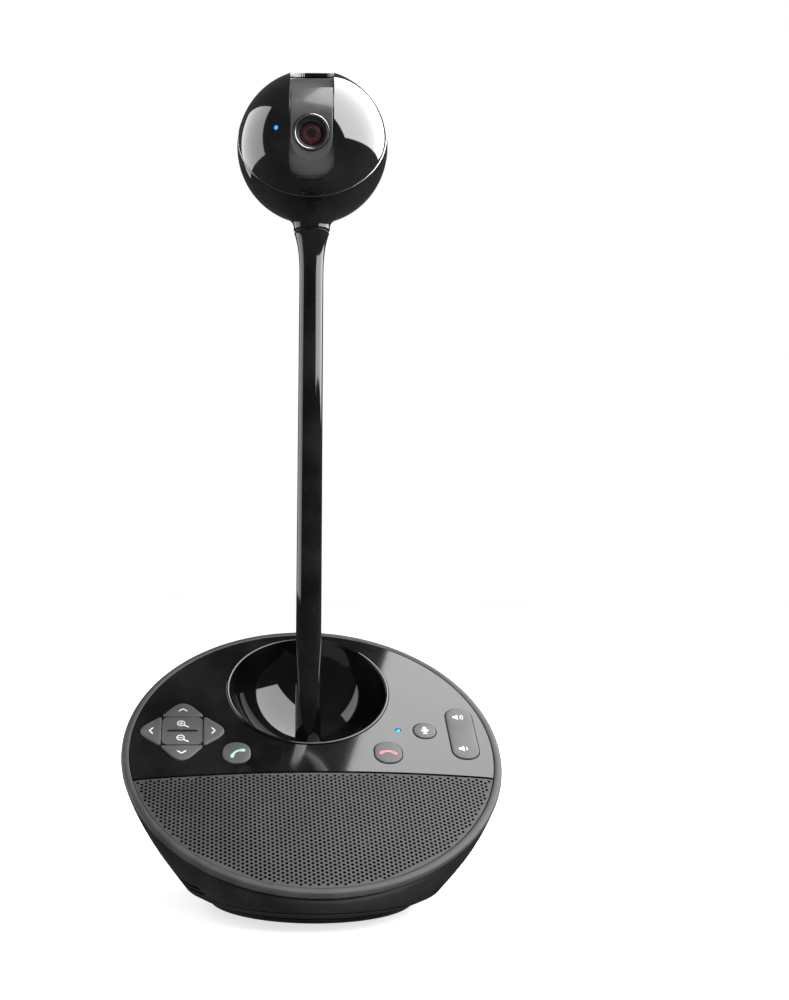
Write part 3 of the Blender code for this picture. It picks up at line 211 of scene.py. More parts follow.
@dataclass(frozen=True)
class Plastic:
    """Moulded plastic: a fine grain, handling marks that change its gloss, and a little dust.

    Roughness is the middle of its range, and spread how far the marks take it either way.
    """

    name: str
    colour: Colour
    roughness: float
    spread: float = 0.06
    grain: float = 3200.0
    depth: float = 0.02 * MM
    coat: float = 0.0
    dust: float = 0.25
    ior: float = 1.5
    specular: float = 0.5

    def material(self) -> bpy.types.Material:
        """Build the material."""
        graph = Graph(self.name)
        marks = graph.noise(42.0, 4.0)
        streaks = graph.noise(160.0, 3.0, (1.0, 0.35, 0.35))
        specks = 1.0 - graph.cells(900.0).between(0.03, 0.10)
        dusty = specks * graph.noise(28.0).between(0.52, 0.75) * self.dust
        light = tuple(min(1.0, c * 1.35 + 0.004) for c in self.colour)
        dark = tuple(c * 0.85 for c in self.colour)
        tone = graph.blend(marks.between(0.35, 0.65), dark, light)
        dust_colour = tuple(0.6 * c + 0.10 for c in self.colour)
        base = graph.node("ShaderNodeMix", {"data_type": "RGBA"},
                          {0: dusty, 6: tone, 7: (*dust_colour, 1.0)}, 2)
        rough = self.roughness + (marks - 0.5) * (2.0 * self.spread) + (streaks - 0.5) * self.spread
        normal = graph.bump(graph.noise(self.grain, 2.0), self.depth)
        return graph.finish(Base_Color=base, Roughness=rough, Normal=normal, Coat_Weight=self.coat,
                            IOR=self.ior, Specular_IOR_Level=self.specular)


@dataclass(frozen=True)
class Metal:
    """Plain, plated or painted metal, with brushing along one axis and duller patches."""

    name: str
    colour: Colour
    roughness: float
    metallic: float = 1.0
    brushed: tuple[float, float, float] = (1.0, 1.0, 1.0)
    depth: float = 0.01 * MM

    def material(self) -> bpy.types.Material:
        """Build the material."""
        graph = Graph(self.name)
        patches = graph.noise(60.0, 4.0)
        lines = graph.noise(1800.0, 2.0, self.brushed)
        dull = tuple(c * 0.72 for c in self.colour)
        tone = graph.blend(patches.between(0.3, 0.7), dull, self.colour)
        rough = self.roughness + (patches - 0.5) * 0.16 + (lines - 0.5) * 0.08
        return graph.finish(Base_Color=tone, Roughness=rough, Metallic=self.metallic,
                            Normal=graph.bump(lines, self.depth))


@dataclass(frozen=True)
class Cloth:
    """Fine black acoustic cloth or pressed paper fibre."""

    name: str
    colour: Colour
    thread: float = 2600.0

    def material(self) -> bpy.types.Material:
        """Build the material."""
        graph = Graph(self.name)
        weave = graph.cells(self.thread)
        tone = graph.blend(weave.between(0.1, 0.5), tuple(c * 0.5 for c in self.colour), self.colour)
        return graph.finish(Base_Color=tone, Roughness=0.85 + weave * 0.1,
                            Normal=graph.bump(weave, 0.06 * MM))


@dataclass(frozen=True)
class Board:
    """A circuit board's green varnish over its copper tracks."""

    name: str
    colour: Colour

    def material(self) -> bpy.types.Material:
        """Build the material."""
        graph = Graph(self.name)
        tracks = graph.node("ShaderNodeTexBrick", {"offset": 0.5},
                            {"Vector": graph.place(), "Scale": 220.0, "Mortar Size": 0.03}, "Fac")
        over = tuple(min(1.0, c * 1.8 + 0.01) for c in self.colour)
        tone = graph.blend(tracks, self.colour, over)
        return graph.finish(Base_Color=tone, Roughness=0.34 + graph.noise(300.0) * 0.12,
                            Normal=graph.bump(tracks, 0.03 * MM))


@dataclass(frozen=True)
class CoatedGlass:
    """Dark optical glass: its coating's tint, with a painted coloured reflection that turns it to the rim tint
    where the surface faces away from the view.
    """

    name: str
    middle: Colour
    rim: Colour

    def material(self) -> bpy.types.Material:
        """Build the material."""
        graph = Graph(self.name)
        facing = graph.node("ShaderNodeLayerWeight", {}, {"Blend": 0.35}, "Facing")
        smear = graph.noise(240.0, 3.0)
        # Painted reflection: the facing mask turns the base colour to the rim tint at grazing angles, standing in
        # for the coating's coloured glints.
        tone = graph.blend(facing.between(0.05, 0.65), self.middle, self.rim)
        return graph.finish(Base_Color=tone, Roughness=0.03 + smear * 0.03, Coat_Weight=1.0,
                            Specular_IOR_Level=0.9)


@dataclass(frozen=True)
class Lamp:
    """A lit light pipe, brightest at its middle."""

    name: str
    colour: Colour
    power: float

    def material(self) -> bpy.types.Material:
        """Build the material."""
        graph = Graph(self.name)
        facing = graph.node("ShaderNodeLayerWeight", {}, {"Blend": 0.5}, "Facing")
        mottle = graph.noise(1500.0, 2.0)
        glow = graph.blend(facing.between(0.0, 0.9) * mottle.between(0.1, 0.9), self.colour,
                           tuple(0.5 * c for c in self.colour))
        return graph.finish(Base_Color=glow, Roughness=0.18 + mottle * 0.1, Emission_Color=glow,
                            Emission_Strength=self.power)


class Finish(Enum):
    """Every finish on the object, each with the record's material slot that it stands for."""

    BODY = ("satin_black", Plastic("body_plastic", (0.0075, 0.0075, 0.008), 0.44, specular=0.32))
    RIM = ("rim_grey", Plastic("rim_plastic", (0.026, 0.026, 0.027), 0.42, specular=0.4))
    GLOSS = ("gloss_black", Plastic("polished_black", (0.0025, 0.0025, 0.0028), 0.055, 0.02, 900.0,
                                    0.0005 * MM, 0.3, 0.04))
    DOME = ("gloss_black", Plastic("polished_dome", (0.0025, 0.0025, 0.0028), 0.07, 0.02, 900.0, 0.0005 * MM,
                                   1.0, 0.03, 1.65))
    STRIP = ("gloss_black", Plastic("window_grey", (0.050, 0.050, 0.052), 0.24, 0.04, 2600.0, 0.002 * MM,
                                    0.3, 0.05))
    BARREL = ("satin_black", Plastic("barrel_black", (0.012, 0.012, 0.012), 0.34, 0.05, 3200.0, 0.01 * MM))
    GRILLE = ("grille_grey", Metal("grille_paint", (0.034, 0.034, 0.035), 0.50, 0.15, depth=0.015 * MM))
    KEY = ("key_grey", Plastic("key_plastic", (0.046, 0.046, 0.048), 0.42, 0.05, 4200.0, 0.015 * MM))
    FOOT = ("foot_rubber", Plastic("foot_rubber_skin", (0.013, 0.013, 0.013), 0.82, 0.05, 2400.0, 0.05 * MM))
    SOFT = ("surround_rubber", Plastic("soft_rubber_skin", (0.018, 0.018, 0.018), 0.75, 0.05, 2400.0,
                                       0.04 * MM))
    STEEL = ("steel", Metal("plain_steel", (0.45, 0.45, 0.46), 0.36, brushed=(0.05, 1.0, 1.0)))
    ZINC = ("zinc", Metal("zinc_plate", (0.38, 0.38, 0.39), 0.44))
    COPPER = ("copper", Metal("contact_metal", (0.62, 0.36, 0.20), 0.38))
    CHROME = ("chrome_trim", Metal("bright_trim", (0.66, 0.66, 0.68), 0.24, brushed=(1.0, 1.0, 0.05)))
    BOARD = ("board", Board("board_varnish", (0.015, 0.090, 0.045)))
    PAPER = ("cone_paper", Cloth("cone_fibre", (0.030, 0.028, 0.027)))
    CLOTH = ("cone_paper", Cloth("acoustic_cloth", (0.0025, 0.0025, 0.0025), 3400.0))
    NYLON = ("nylon", Plastic("gear_nylon", (0.60, 0.59, 0.55), 0.46))
    LAMP = ("lamp", Lamp("blue_lamp", (0.015, 0.20, 1.0), 2.2))
    # The lens's turn from red to green at its rim is the coating's tint plus a painted coloured reflection.
    LENS = ("lens_glass", CoatedGlass("lens_coating_and_painted_glint", (0.050, 0.012, 0.016), (0.012, 0.035, 0.030)))
    # The inner element's red rim is a painted red glint over its dark coated middle.
    ELEMENT = ("lens_glass", CoatedGlass("inner_element_coating_and_red_glint", (0.004, 0.004, 0.006),
                                         (0.09, 0.020, 0.022)))
    WHITE_INK = ("key_grey", Plastic("white_ink", (0.62, 0.62, 0.62), 0.50, 0.04, 5200.0, 0.008 * MM))
    GREEN_INK = ("key_grey", Plastic("green_ink", (0.36, 0.62, 0.45), 0.50, 0.04, 5200.0, 0.008 * MM))
    RED_INK = ("key_grey", Plastic("red_ink", (0.60, 0.16, 0.16), 0.50, 0.04, 5200.0, 0.008 * MM))

    @property
    def slot(self) -> str:
        """The record's material slot."""
        return self.value[0]

    @property
    def material(self) -> bpy.types.Material:
        """The material, built once."""
        recipe = self.value[1]
        return bpy.data.materials.get(recipe.name) or recipe.material()


# --- Mesh building --------------------------------------------------------------------------------

def orient(bm: bmesh.types.BMesh) -> None:
    """Turn a closed mesh's faces outward."""
    bm.normal_update()
    bmesh.ops.recalc_face_normals(bm, faces=bm.faces)
    if bm.calc_volume(signed=True) < 0.0:
        bmesh.ops.reverse_faces(bm, faces=bm.faces)


def make_piece(name: str, bm: bmesh.types.BMesh, finish: Finish, body: str, sharp: float = 35.0,
               stands_for: Sequence[str] = (), flat: bool = False) -> bpy.types.Object:
    """Turn a mesh that is already in the row's frame into a finished piece.

    Args:
        name: Piece name.
        bm: The mesh, which is freed.
        finish: What it is made of.
        body: The moving body it rides on.
        sharp: Edges that bend more than this many degrees stay crisp.
        stands_for: CAD nodes that it replaces.
        flat: Keep its top level with the face, so that it mirrors as a true plane.

    Returns:
        The piece.
    """
    orient(bm)
    mesh = bpy.data.meshes.new(name)
    bm.to_mesh(mesh)
    bm.free()
    mesh.shade_smooth()
    mesh.set_sharp_from_angle(angle=math.radians(sharp))
    if flat:
        for polygon in mesh.polygons:
            polygon.use_smooth = polygon.normal.dot(LAYOUT.normal) < LEVEL_COSINE
    obj = bpy.data.objects.new(name, mesh)
    bpy.context.scene.collection.objects.link(obj)
    obj.data.materials.append(finish.material)
    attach(obj, body)
    if stands_for:
        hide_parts(*stands_for)
    LOG.info("%s: %d faces on %s", name, len(mesh.polygons), body)
    return obj


def make_tool(bm: bmesh.types.BMesh, triangles: bool = False) -> bpy.types.Object:
    """A loose helper object from a mesh in the row's frame.

    Args:
        bm: The mesh, which is freed.
        triangles: Split its faces, which the solver needs on bent strips.

    Returns:
        The object.
    """
    if triangles:
        bmesh.ops.triangulate(bm, faces=bm.faces)
    orient(bm)
    mesh = bpy.data.meshes.new("tool")
    bm.to_mesh(mesh)
    bm.free()
    tool = bpy.data.objects.new("tool", mesh)
    bpy.context.scene.collection.objects.link(tool)
    return tool


def carve(bm: bmesh.types.BMesh, tools: Iterable[bmesh.types.BMesh]) -> bmesh.types.BMesh:
    """Cut a mesh with others.

    Args:
        bm: What is cut; it is freed.
        tools: The cutters, freed as well.

    Returns:
        The result as a new mesh.
    """
    target = make_tool(bm, True)
    cutters = [make_tool(tool, True) for tool in tools]
    for cutter in cutters:
        modifier = target.modifiers.new("cut", "BOOLEAN")
        modifier.operation = "DIFFERENCE"
        modifier.solver = "EXACT"
        modifier.object = cutter
    graph = bpy.context.evaluated_depsgraph_get()
    result = bmesh.new()
    result.from_mesh(target.evaluated_get(graph).to_mesh())
    for obj in (target, *cutters):
        bpy.data.objects.remove(obj, do_unlink=True)
    return result


def rounded(bm: bmesh.types.BMesh, width: float, segments: int = 3, angle: float = 50.0) -> bmesh.types.BMesh:
    """Round a mesh's crisp edges.

    Args:
        bm: The mesh, which is freed.
        width: How far the rounding reaches.
        segments: Facets across it.
        angle: Only edges that bend more than this many degrees.

    Returns:
        The rounded mesh.
    """
    obj = make_tool(bm)
    modifier = obj.modifiers.new("round", "BEVEL")
    modifier.width = width
    modifier.segments = segments
    modifier.limit_method = "ANGLE"
    modifier.angle_limit = math.radians(angle)
    graph = bpy.context.evaluated_depsgraph_get()
    result = bmesh.new()
    result.from_mesh(obj.evaluated_get(graph).to_mesh())
    bpy.data.objects.remove(obj, do_unlink=True)
    return result


def turned(profile: Sequence[Point], matrix: Matrix, steps: int = 128) -> bmesh.types.BMesh:
    """A turned solid about its own Z.

    Args:
        profile: (radius, height) points around the section; points on the axis close it.
        matrix: Where it goes.
        steps: Facets around.

    Returns:
        The mesh.
    """
    bm = bmesh.new()
    points = [bm.verts.new((radius, 0.0, height)) for radius, height in profile]
    edges = [bm.edges.new(pair) for pair in zip(points, points[1:])]
    if profile[0][0] > 0.0:
        edges.append(bm.edges.new((points[-1], points[0])))
    bmesh.ops.spin(bm, geom=points + edges, axis=(0, 0, 1), cent=(0, 0, 0), angle=math.tau, steps=steps,
                   use_merge=True)
    bmesh.ops.remove_doubles(bm, verts=bm.verts, dist=MERGE_DISTANCE)
    bm.transform(matrix)
    return bm


def rod(radius: float, low: float, high: float, matrix: Matrix, steps: int) -> bmesh.types.BMesh:
    """A plain round bar about its own Z, between two heights."""
    return turned([(0.0, low), (radius, low), (radius, high), (0.0, high)], matrix, steps)


def skinned(rings: Sequence[Sequence[Vector]], matrix: Matrix, closed: bool = False) -> bmesh.types.BMesh:
    """A skin over rings of points.

    Args:
        rings: Rings with equal numbers of points.
        matrix: Where it goes.
        closed: Whether the last ring joins the first; otherwise both ends are capped.

    Returns:
        The mesh.
    """
    bm = bmesh.new()
    loops = [[bm.verts.new(point) for point in ring] for ring in rings]
    for low, high in list(zip(loops, loops[1:])) + ([(loops[-1], loops[0])] if closed else []):
        for i in range(len(low)):
            j = (i + 1) % len(low)
            bm.faces.new((low[i], low[j], high[j], high[i]))
    if not closed:
        bm.faces.new(loops[0])
        bm.faces.new(loops[-1])
    bm.transform(matrix)
    return bm


def sheet(outline: Outline, holes: Sequence[Outline], low: float, high: float, matrix: Matrix,
          in_hole: Callable[[Point], bool] | None = None) -> bmesh.types.BMesh:
    """A plate with holes.

    Args:
        outline: Its edge.
        holes: The edges of its holes.
        low: Height of its underside.
        high: Height of its top.
        matrix: Where it goes.
        in_hole: Says whether a point lies in a hole, where that can be told from a formula.

    Returns:
        The mesh.
    """
    loops = [outline, *holes]
    points = [Vector(point) for loop in loops for point in loop]
    edges, start = [], 0
    for loop in loops:
        edges += [(start + i, start + (i + 1) % len(loop)) for i in range(len(loop))]
        start += len(loop)
    flat, _, faces, *_ = delaunay_2d_cdt(points, edges, [], 0, CDT_TOLERANCE)
    inside = in_hole or (lambda point: any(contains(hole, point) for hole in holes))
    bm = bmesh.new()
    tops = [bm.verts.new((*point, high)) for point in flat]
    floors = [bm.verts.new((*point, low)) for point in flat]
    seen: dict[tuple[int, int], int] = {}
    for face in faces:
        centre = tuple(sum(flat[i][axis] for i in face) / len(face) for axis in (0, 1))
        if inside(centre) or not contains(outline, centre):
            continue
        bm.faces.new([tops[i] for i in face])
        bm.faces.new([floors[i] for i in reversed(face)])
        for pair in zip(face, (*face[1:], face[0])):
            seen[pair] = 1
    for a, b in list(seen):
        if (b, a) not in seen:
            bm.faces.new((tops[b], tops[a], floors[a], floors[b]))
    bmesh.ops.delete(bm, geom=[vert for vert in bm.verts if not vert.link_faces], context="VERTS")
    bm.transform(matrix)
    return bm


def contains(outline: Outline, point: Point) -> bool:
    """Whether a point lies inside an outline."""
    x, y = point
    odd = False
    for (x0, y0), (x1, y1) in zip(outline, outline[1:] + outline[:1]):
        if (y0 > y) != (y1 > y) and x < (x1 - x0) * (y - y0) / (y1 - y0) + x0:
            odd = not odd
    return odd


def join(parts: Iterable[bmesh.types.BMesh]) -> bmesh.types.BMesh:
    """Several meshes as one."""
    whole = bmesh.new()
    for part in parts:
        mesh = bpy.data.meshes.new("part")
        part.to_mesh(mesh)
        part.free()
        whole.from_mesh(mesh)
        bpy.data.meshes.remove(mesh)
    return whole


def circle(radius: float, steps: int = 64, centre: Point = (0.0, 0.0), start: float = 0.0) -> Outline:
    """Points around a circle."""
    angles = [start + math.tau * i / steps for i in range(steps)]
    return [(centre[0] + radius * math.cos(a), centre[1] + radius * math.sin(a)) for a in angles]


def soft_box(width: float, height: float, radius: float, centre: Point = (0.0, 0.0),
             steps: int = 10) -> Outline:
    """Points around a rectangle with round corners."""
    points = []
    for corner in range(4):
        across = (1, -1, -1, 1)[corner] * (width / 2 - radius)
        along = (1, 1, -1, -1)[corner] * (height / 2 - radius)
        for step in range(steps + 1):
            angle = math.pi / 2 * (corner + step / steps)
            points.append((centre[0] + across + radius * math.cos(angle),
                           centre[1] + along + radius * math.sin(angle)))
    return points


def arc(radius: float, start: float, end: float, centre: Point = (0.0, 0.0), steps: int = 16) -> Outline:
    """Points along part of a circle, angles in degrees."""
    angles = [math.radians(start + (end - start) * i / steps) for i in range(steps + 1)]
    return [(centre[0] + radius * math.cos(a), centre[1] + radius * math.sin(a)) for a in angles]


def stroke(points: Outline, width: float) -> Outline:
    """The outline of a pen stroke along points, with round ends.

    Args:
        points: The stroke's middle.
        width: Its width.

    Returns:
        The outline.
    """
    half = width / 2
    left, right = [], []
    for i, (x, y) in enumerate(points):
        before, after = points[max(i - 1, 0)], points[min(i + 1, len(points) - 1)]
        angle = math.atan2(after[1] - before[1], after[0] - before[0])
        left.append((x - half * math.sin(angle), y + half * math.cos(angle)))
        right.append((x + half * math.sin(angle), y - half * math.cos(angle)))
    first = math.atan2(points[1][1] - points[0][1], points[1][0] - points[0][0])
    last = math.atan2(points[-1][1] - points[-2][1], points[-1][0] - points[-2][0])
    tail = arc(half, math.degrees(first) + 105, math.degrees(first) + 255, points[0], 5)
    nose = arc(half, math.degrees(last) - 75, math.degrees(last) + 75, points[-1], 5)
    return right + nose + left[::-1] + tail


# --- The frame's sizes ----------------------------------------------------------------------------

@dataclass(frozen=True)
class Layout:
    """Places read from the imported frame: the tilted face, the stem's axis, the ball and the lens."""

    normal: Vector
    face: Matrix
    face_radius: float
    stem: Matrix
    seam: float
    ball: Matrix
    ball_radius: float
    lens: Matrix

    @classmethod
    def read(cls) -> "Layout":
        """Read the places from the joints and the boxes of the nodes."""
        joints = {joint["name"]: joint for joint in frame["joints"]}
        normal = -Vector(joints["answer_press"]["axis"])
        low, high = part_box("rim_ring")
        widest = 1.3 * MM
        origin = (low + high) / 2 + normal * widest
        across = Vector((1.0, 0.0, 0.0))
        face = Matrix((across, normal.cross(across), normal)).transposed().to_4x4()
        face.translation = origin
        pan = joints["head_pan"]["pos_m"]
        tilt = joints["lens_tilt"]
        centre = Vector(tilt["pos_m"])
        turn = math.atan2(tilt["axis"][1], tilt["axis"][0])
        ball = Matrix.Translation(centre) @ Matrix.Rotation(turn, 4, "Z")
        ring_low, ring_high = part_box("lens_ring")
        aim = ((ring_low + ring_high) / 2 - centre).normalized()
        cup_low, cup_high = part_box("head_cup")
        return cls(normal, face, (high.x - low.x) / 2, Matrix.Translation((0.0, pan[1], 0.0)),
                   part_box("stem_tube")[1].z, ball, (cup_high.x - cup_low.x) / 2,
                   ball @ Matrix.Rotation(-math.asin(aim.z), 4, "X"))

    def on_face(self, node: str) -> Point:
        """The middle of a node, in the face's own plane."""
        low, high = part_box(node)
        local = self.face.inverted() @ ((low + high) / 2)
        return local.x, local.y


LAYOUT = Layout.read()


# --- Base -----------------------------------------------------------------------------------------

@dataclass
class Housing:
    """The base's outer shell, the ring round its face, and its foot."""

    thickness: float = PLATE
    wall: float = 2.2 * MM
    side_bulge: float = 2.2 * MM
    back_bulge: float = 7.0 * MM
    flange: float = 6.0 * MM
    flange_height: float = 1.8 * MM
    rim_width: float = 3.2 * MM
    vent_count: int = 3
    vent_pitch: float = 2.2 * MM
    vent_height: float = 1.1 * MM
    vent_length: float = 18.0 * MM
    vent_clearance: float = 1.4 * MM
    vent_turn: float = 28.0
    steps: int = 180
    kink: Vector = field(init=False)
    kink_radius: float = field(init=False)

    def __post_init__(self) -> None:
        """Find the shell's lower edge from the plates that it holds."""
        low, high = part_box("ballast_plate")
        inset = self.wall + 2.5 * MM
        self.kink_radius = (high.x - low.x) / 2 + inset
        self.kink = Vector((0.0, (low.y + high.y) / 2, low.z - self.flange_height - GAP))

    def flank(self, angle: float, share: float, inset: float = 0.0) -> Vector:
        """A point of the flank.

        Args:
            angle: Around the base, in radians from +X.
            share: From 0 at the lower edge to 1 at the face.
            inset: How far inside the surface.

        Returns:
            The point.
        """
        outward = Vector((math.cos(angle), math.sin(angle), 0.0))
        radius = LAYOUT.face_radius - GAP
        top = LAYOUT.face @ Vector((radius * outward.x, radius * outward.y, -self.thickness - GAP))
        back = max(0.0, outward.y) ** 2
        bulge = self.side_bulge + (self.back_bulge - self.side_bulge) * back
        low = self.kink + self.kink_radius * outward
        return low.lerp(top, share) + outward * (4 * share * (1 - share) * bulge - inset)

    def section(self, angle: float) -> list[Vector]:
        """The wall's section at one angle: flank, top edge, inside and bottom flange."""
        outward = Vector((math.cos(angle), math.sin(angle), 0.0))
        height = self.flank(angle, 1.0).z - self.kink.z
        outer = [self.flank(angle, share / 20) for share in range(21)]
        inner = [self.flank(angle, 1 - share / 12 * (1 - self.flange_height / height), self.wall)
                 for share in range(13)]
        reach = self.kink_radius - self.wall - self.flange
        floor = self.kink + reach * outward
        return outer + inner + [floor + Vector((0.0, 0.0, self.flange_height)), floor]

    def build(self) -> None:
        """Build the shell, the rim and the foot."""
        self.build_shell()
        self.build_rim()
        self.build_foot()

    def build_shell(self) -> None:
        """The wall, with its vents and the opening for the rear sockets."""
        sections = [self.section(math.tau * i / self.steps) for i in range(self.steps)]
        rings = [[section[i] for section in sections] for i in range(len(sections[0]))]
        shell = skinned(rings, Matrix.Identity(4), True)
        tools = []
        first = self.kink.z + self.flange_height + self.vent_clearance
        for side in (-1, 1):
            turn = Matrix.Rotation(math.radians(-side * self.vent_turn), 4, "Z")
            for row in range(self.vent_count):
                where = Matrix.Translation((0.0, self.kink.y, first + row * self.vent_pitch)) @ turn
                stand = Matrix.Rotation(side * math.pi / 2, 4, "Y") @ Matrix.Rotation(math.pi / 2, 4, "Z")
                slot = soft_box(self.vent_length, self.vent_height, 0.49 * self.vent_height, (0.0, 0.0), 6)
                reach = self.kink_radius
                tools.append(sheet(slot, [], reach - 6 * MM, reach + 6 * MM, where @ stand))
        low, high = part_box("port_bay")
        middle = (low + high) / 2
        upright = Matrix.Translation((middle.x, 0.0, middle.z)) @ Matrix.Rotation(-math.pi / 2, 4, "X")
        bay = soft_box(high.x - low.x + 2 * GAP, high.z - low.z + 2 * GAP, 1.2 * MM)
        tools.append(sheet(bay, [], low.y - GAP, high.y + 20 * MM, upright))
        make_piece("housing_shell", carve(shell, tools), Finish.BODY, "base", 32.0, ["housing"])

    def build_rim(self) -> None:
        """The ring round the face: a soft outer shoulder and a crisp inner edge."""
        outer, inner = LAYOUT.face_radius, LAYOUT.face_radius - self.rim_width
        shoulder = [(outer - 1.6 * MM + 1.6 * MM * math.cos(a), -1.3 * MM + 1.3 * MM * math.sin(a))
                    for a in [math.pi / 2 * i / 10 for i in range(11)]]
        profile = [(inner, -self.thickness), (outer - 0.3 * MM, -self.thickness), *shoulder,
                   (inner + 0.35 * MM, 0.0), (inner + 0.1 * MM, -0.1 * MM), (inner, -0.35 * MM)]
        make_piece("rim_band", turned(profile, LAYOUT.face, 240), Finish.RIM, "base", 45.0, ["rim_ring"])

    def build_foot(self) -> None:
        """The rubber foot: a rounded ring with two shallow grip grooves."""
        low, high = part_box("foot_ring")
        outer = (high.x - low.x) / 2
        inner = outer - 9.0 * MM
        thick = high.z
        soft = 0.5 * MM
        groove = []
        for share in (0.33, 0.66):
            middle = outer + (inner - outer) * share
            groove += [(middle + 0.5 * MM, 0.0), (middle + 0.3 * MM, soft), (middle - 0.3 * MM, soft),
                       (middle - 0.5 * MM, 0.0)]
        profile = [(inner, thick), (outer, thick), (outer, soft), (outer - soft, 0.0), *groove,
                   (inner + soft, 0.0), (inner, soft)]
        where = Matrix.Translation((0.0, (low.y + high.y) / 2, 0.0))
        make_piece("foot_tread", turned(profile, where, 160), Finish.FOOT, "base", 40.0, ["foot_ring"])


class Side(Enum):
    """The four pad keys, by quarter turns from straight up."""

    UP = (0, "tilt_up")
    LEFT = (1, "pan_left")
    DOWN = (2, "tilt_down")
    RIGHT = (3, "pan_right")


@dataclass
class Face:
    """The glossy panel with its keys, and the perforated speaker grille below it."""

    thickness: float = PLATE
    edge: float = -13.8 * MM
    sag: float = 4.3 * MM
    clearance: float = 0.35 * MM
    stand: float = 0.5 * MM
    depth: float = 3.4 * MM
    reach: float = 17.0 * MM
    half: float = 8.2 * MM
    call: Point = (11.2 * MM, 12.2 * MM)
    mute: Point = (9.2 * MM, 9.2 * MM)
    volume: Point = (11.0 * MM, 30.4 * MM)
    hole: float = 0.62 * MM
    pitch: float = 1.85 * MM
    margin: float = 0.9 * MM
    lamp: float = LAMP_RADIUS

    def __post_init__(self) -> None:
        """Work out the panel's radius and the pad's middle."""
        self.radius = LAYOUT.face_radius - PANEL_INSET
        self.pad = LAYOUT.on_face("zoom_rocker")

    def boundary(self, across: float) -> float:
        """Height up the face of the arc between panel and grille."""
        return self.edge - self.sag * (across / self.radius) ** 2

    def segment(self, upper: bool, inset: float, trim: float = 0.0) -> Outline:
        """The face's outline on one side of the arc.

        Args:
            upper: Above the arc, or below it.
            inset: Distance from the arc.
            trim: Distance from the rim.

        Returns:
            The outline.
        """
        radius = self.radius - trim
        shift = inset if upper else -inset
        start = math.asin((self.boundary(radius) + shift) / radius)
        sweep = math.pi - 2 * start if upper else -(math.pi + 2 * start)
        rim = [(radius * math.cos(start + sweep * i / 160), radius * math.sin(start + sweep * i / 160))
               for i in range(161)]
        left, right = rim[-1][0], rim[0][0]
        across = [left + (right - left) * i / 60 for i in range(1, 60)]
        return rim + [(x, self.boundary(x) + shift) for x in across]

    def petal(self, quarter: int, grow: float, start: float) -> Outline:
        """A pad key: a straight root and a round tip on hollow shoulders.

        Args:
            quarter: Quarter turns from straight up.
            grow: Added all round, for its opening.
            start: Distance of the root from the pad's middle.

        Returns:
            The outline, about the pad's middle.
        """
        half, reach, lift = self.half + grow, self.reach + grow, 1.2 * MM
        crown = []
        for i in range(1, 40):
            across = -half * math.cos(math.pi * i / 40)
            swell = 0.5 + 0.5 * math.cos(math.pi * across / half)
            crown.append((across, start + lift + (reach - start - lift) * swell ** 0.55))
        turn = Matrix.Rotation(quarter * math.pi / 2, 2)
        points = [(half, start), (-half, start), *crown]
        return [tuple(turn @ Vector(point)) for point in points]

    def moved(self, outline: Outline, centre: Point) -> Outline:
        """An outline about a centre."""
        return [(x + centre[0], y + centre[1]) for x, y in outline]

    def pad_opening(self) -> Outline:
        """The cross-shaped opening round the pad."""
        points = []
        for quarter in range(4):
            points += list(reversed(self.petal(quarter, self.clearance, self.half + self.clearance)[1:]))
        return self.moved(points, self.pad)

    def build(self) -> None:
        """Build the panel, the grille, the keys and their signs."""
        self.build_panel()
        self.build_grille()
        self.build_keys()
        self.build_signs()

    def build_panel(self) -> None:
        """The glossy panel with its openings."""
        grow = 2 * self.clearance
        holes = [circle(BOWL.lip_radius + GAP, 160, (0.0, BOWL.up)), self.pad_opening()]
        for node, size in (("answer_key", self.call), ("hangup_key", self.call), ("mute_key", self.mute),
                           ("volume_rocker", self.volume)):
            holes.append(soft_box(size[0] + grow, size[1] + grow, KEY_CORNER * (size[0] + grow),
                                  LAYOUT.on_face(node)))
        holes.append(circle(self.lamp + self.clearance, 32, LAYOUT.on_face("panel_led")))
        panel = sheet(self.segment(True, GAP), holes, -self.thickness, 0.0, LAYOUT.face)
        make_piece("panel_gloss", rounded(panel, 0.18 * MM, 3, 60.0), Finish.GLOSS, "base", 89.0,
                   ["control_panel"], True)

    def build_grille(self) -> None:
        """The perforated sheet, with real holes in offset columns, and the cloth behind it."""
        step = self.pitch * math.cos(math.radians(30))
        outline = self.segment(False, GAP)
        field_edge = self.segment(False, GAP + self.margin, self.margin)
        centres = []
        columns = int(self.radius / step) + 1
        for column in range(-columns, columns + 1):
            offset = self.pitch / 2 if column % 2 else 0.0
            for row in range(-columns, 1):
                point = (column * step, row * self.pitch + offset)
                if contains(field_edge, point):
                    centres.append(point)
        holes = [circle(self.hole, 8, centre, math.pi / 8) for centre in centres]
        lattice = {(round(x / step), round(2 * y / self.pitch)) for x, y in centres}

        def in_hole(point: Point) -> bool:
            """Whether a point of the sheet lies in one of the holes."""
            column = round(point[0] / step)
            offset = self.pitch / 2 if column % 2 else 0.0
            row = round((point[1] - offset) / self.pitch)
            middle = (column * step, row * self.pitch + offset)
            near = math.dist(point, middle) < 0.95 * self.hole
            return near and (column, round(2 * middle[1] / self.pitch)) in lattice

        recess = -0.4 * MM
        grille = sheet(outline, holes, recess - 0.9 * MM, recess, LAYOUT.face, in_hole)
        make_piece("grille_sheet", grille, Finish.GRILLE, "base", 30.0, ["speaker_grille"])
        cloth = sheet(self.segment(False, 0.8 * MM, 0.5 * MM), [], recess - 1.4 * MM, recess - 1.1 * MM,
                      LAYOUT.face)
        make_piece("grille_cloth", cloth, Finish.CLOTH, "base")

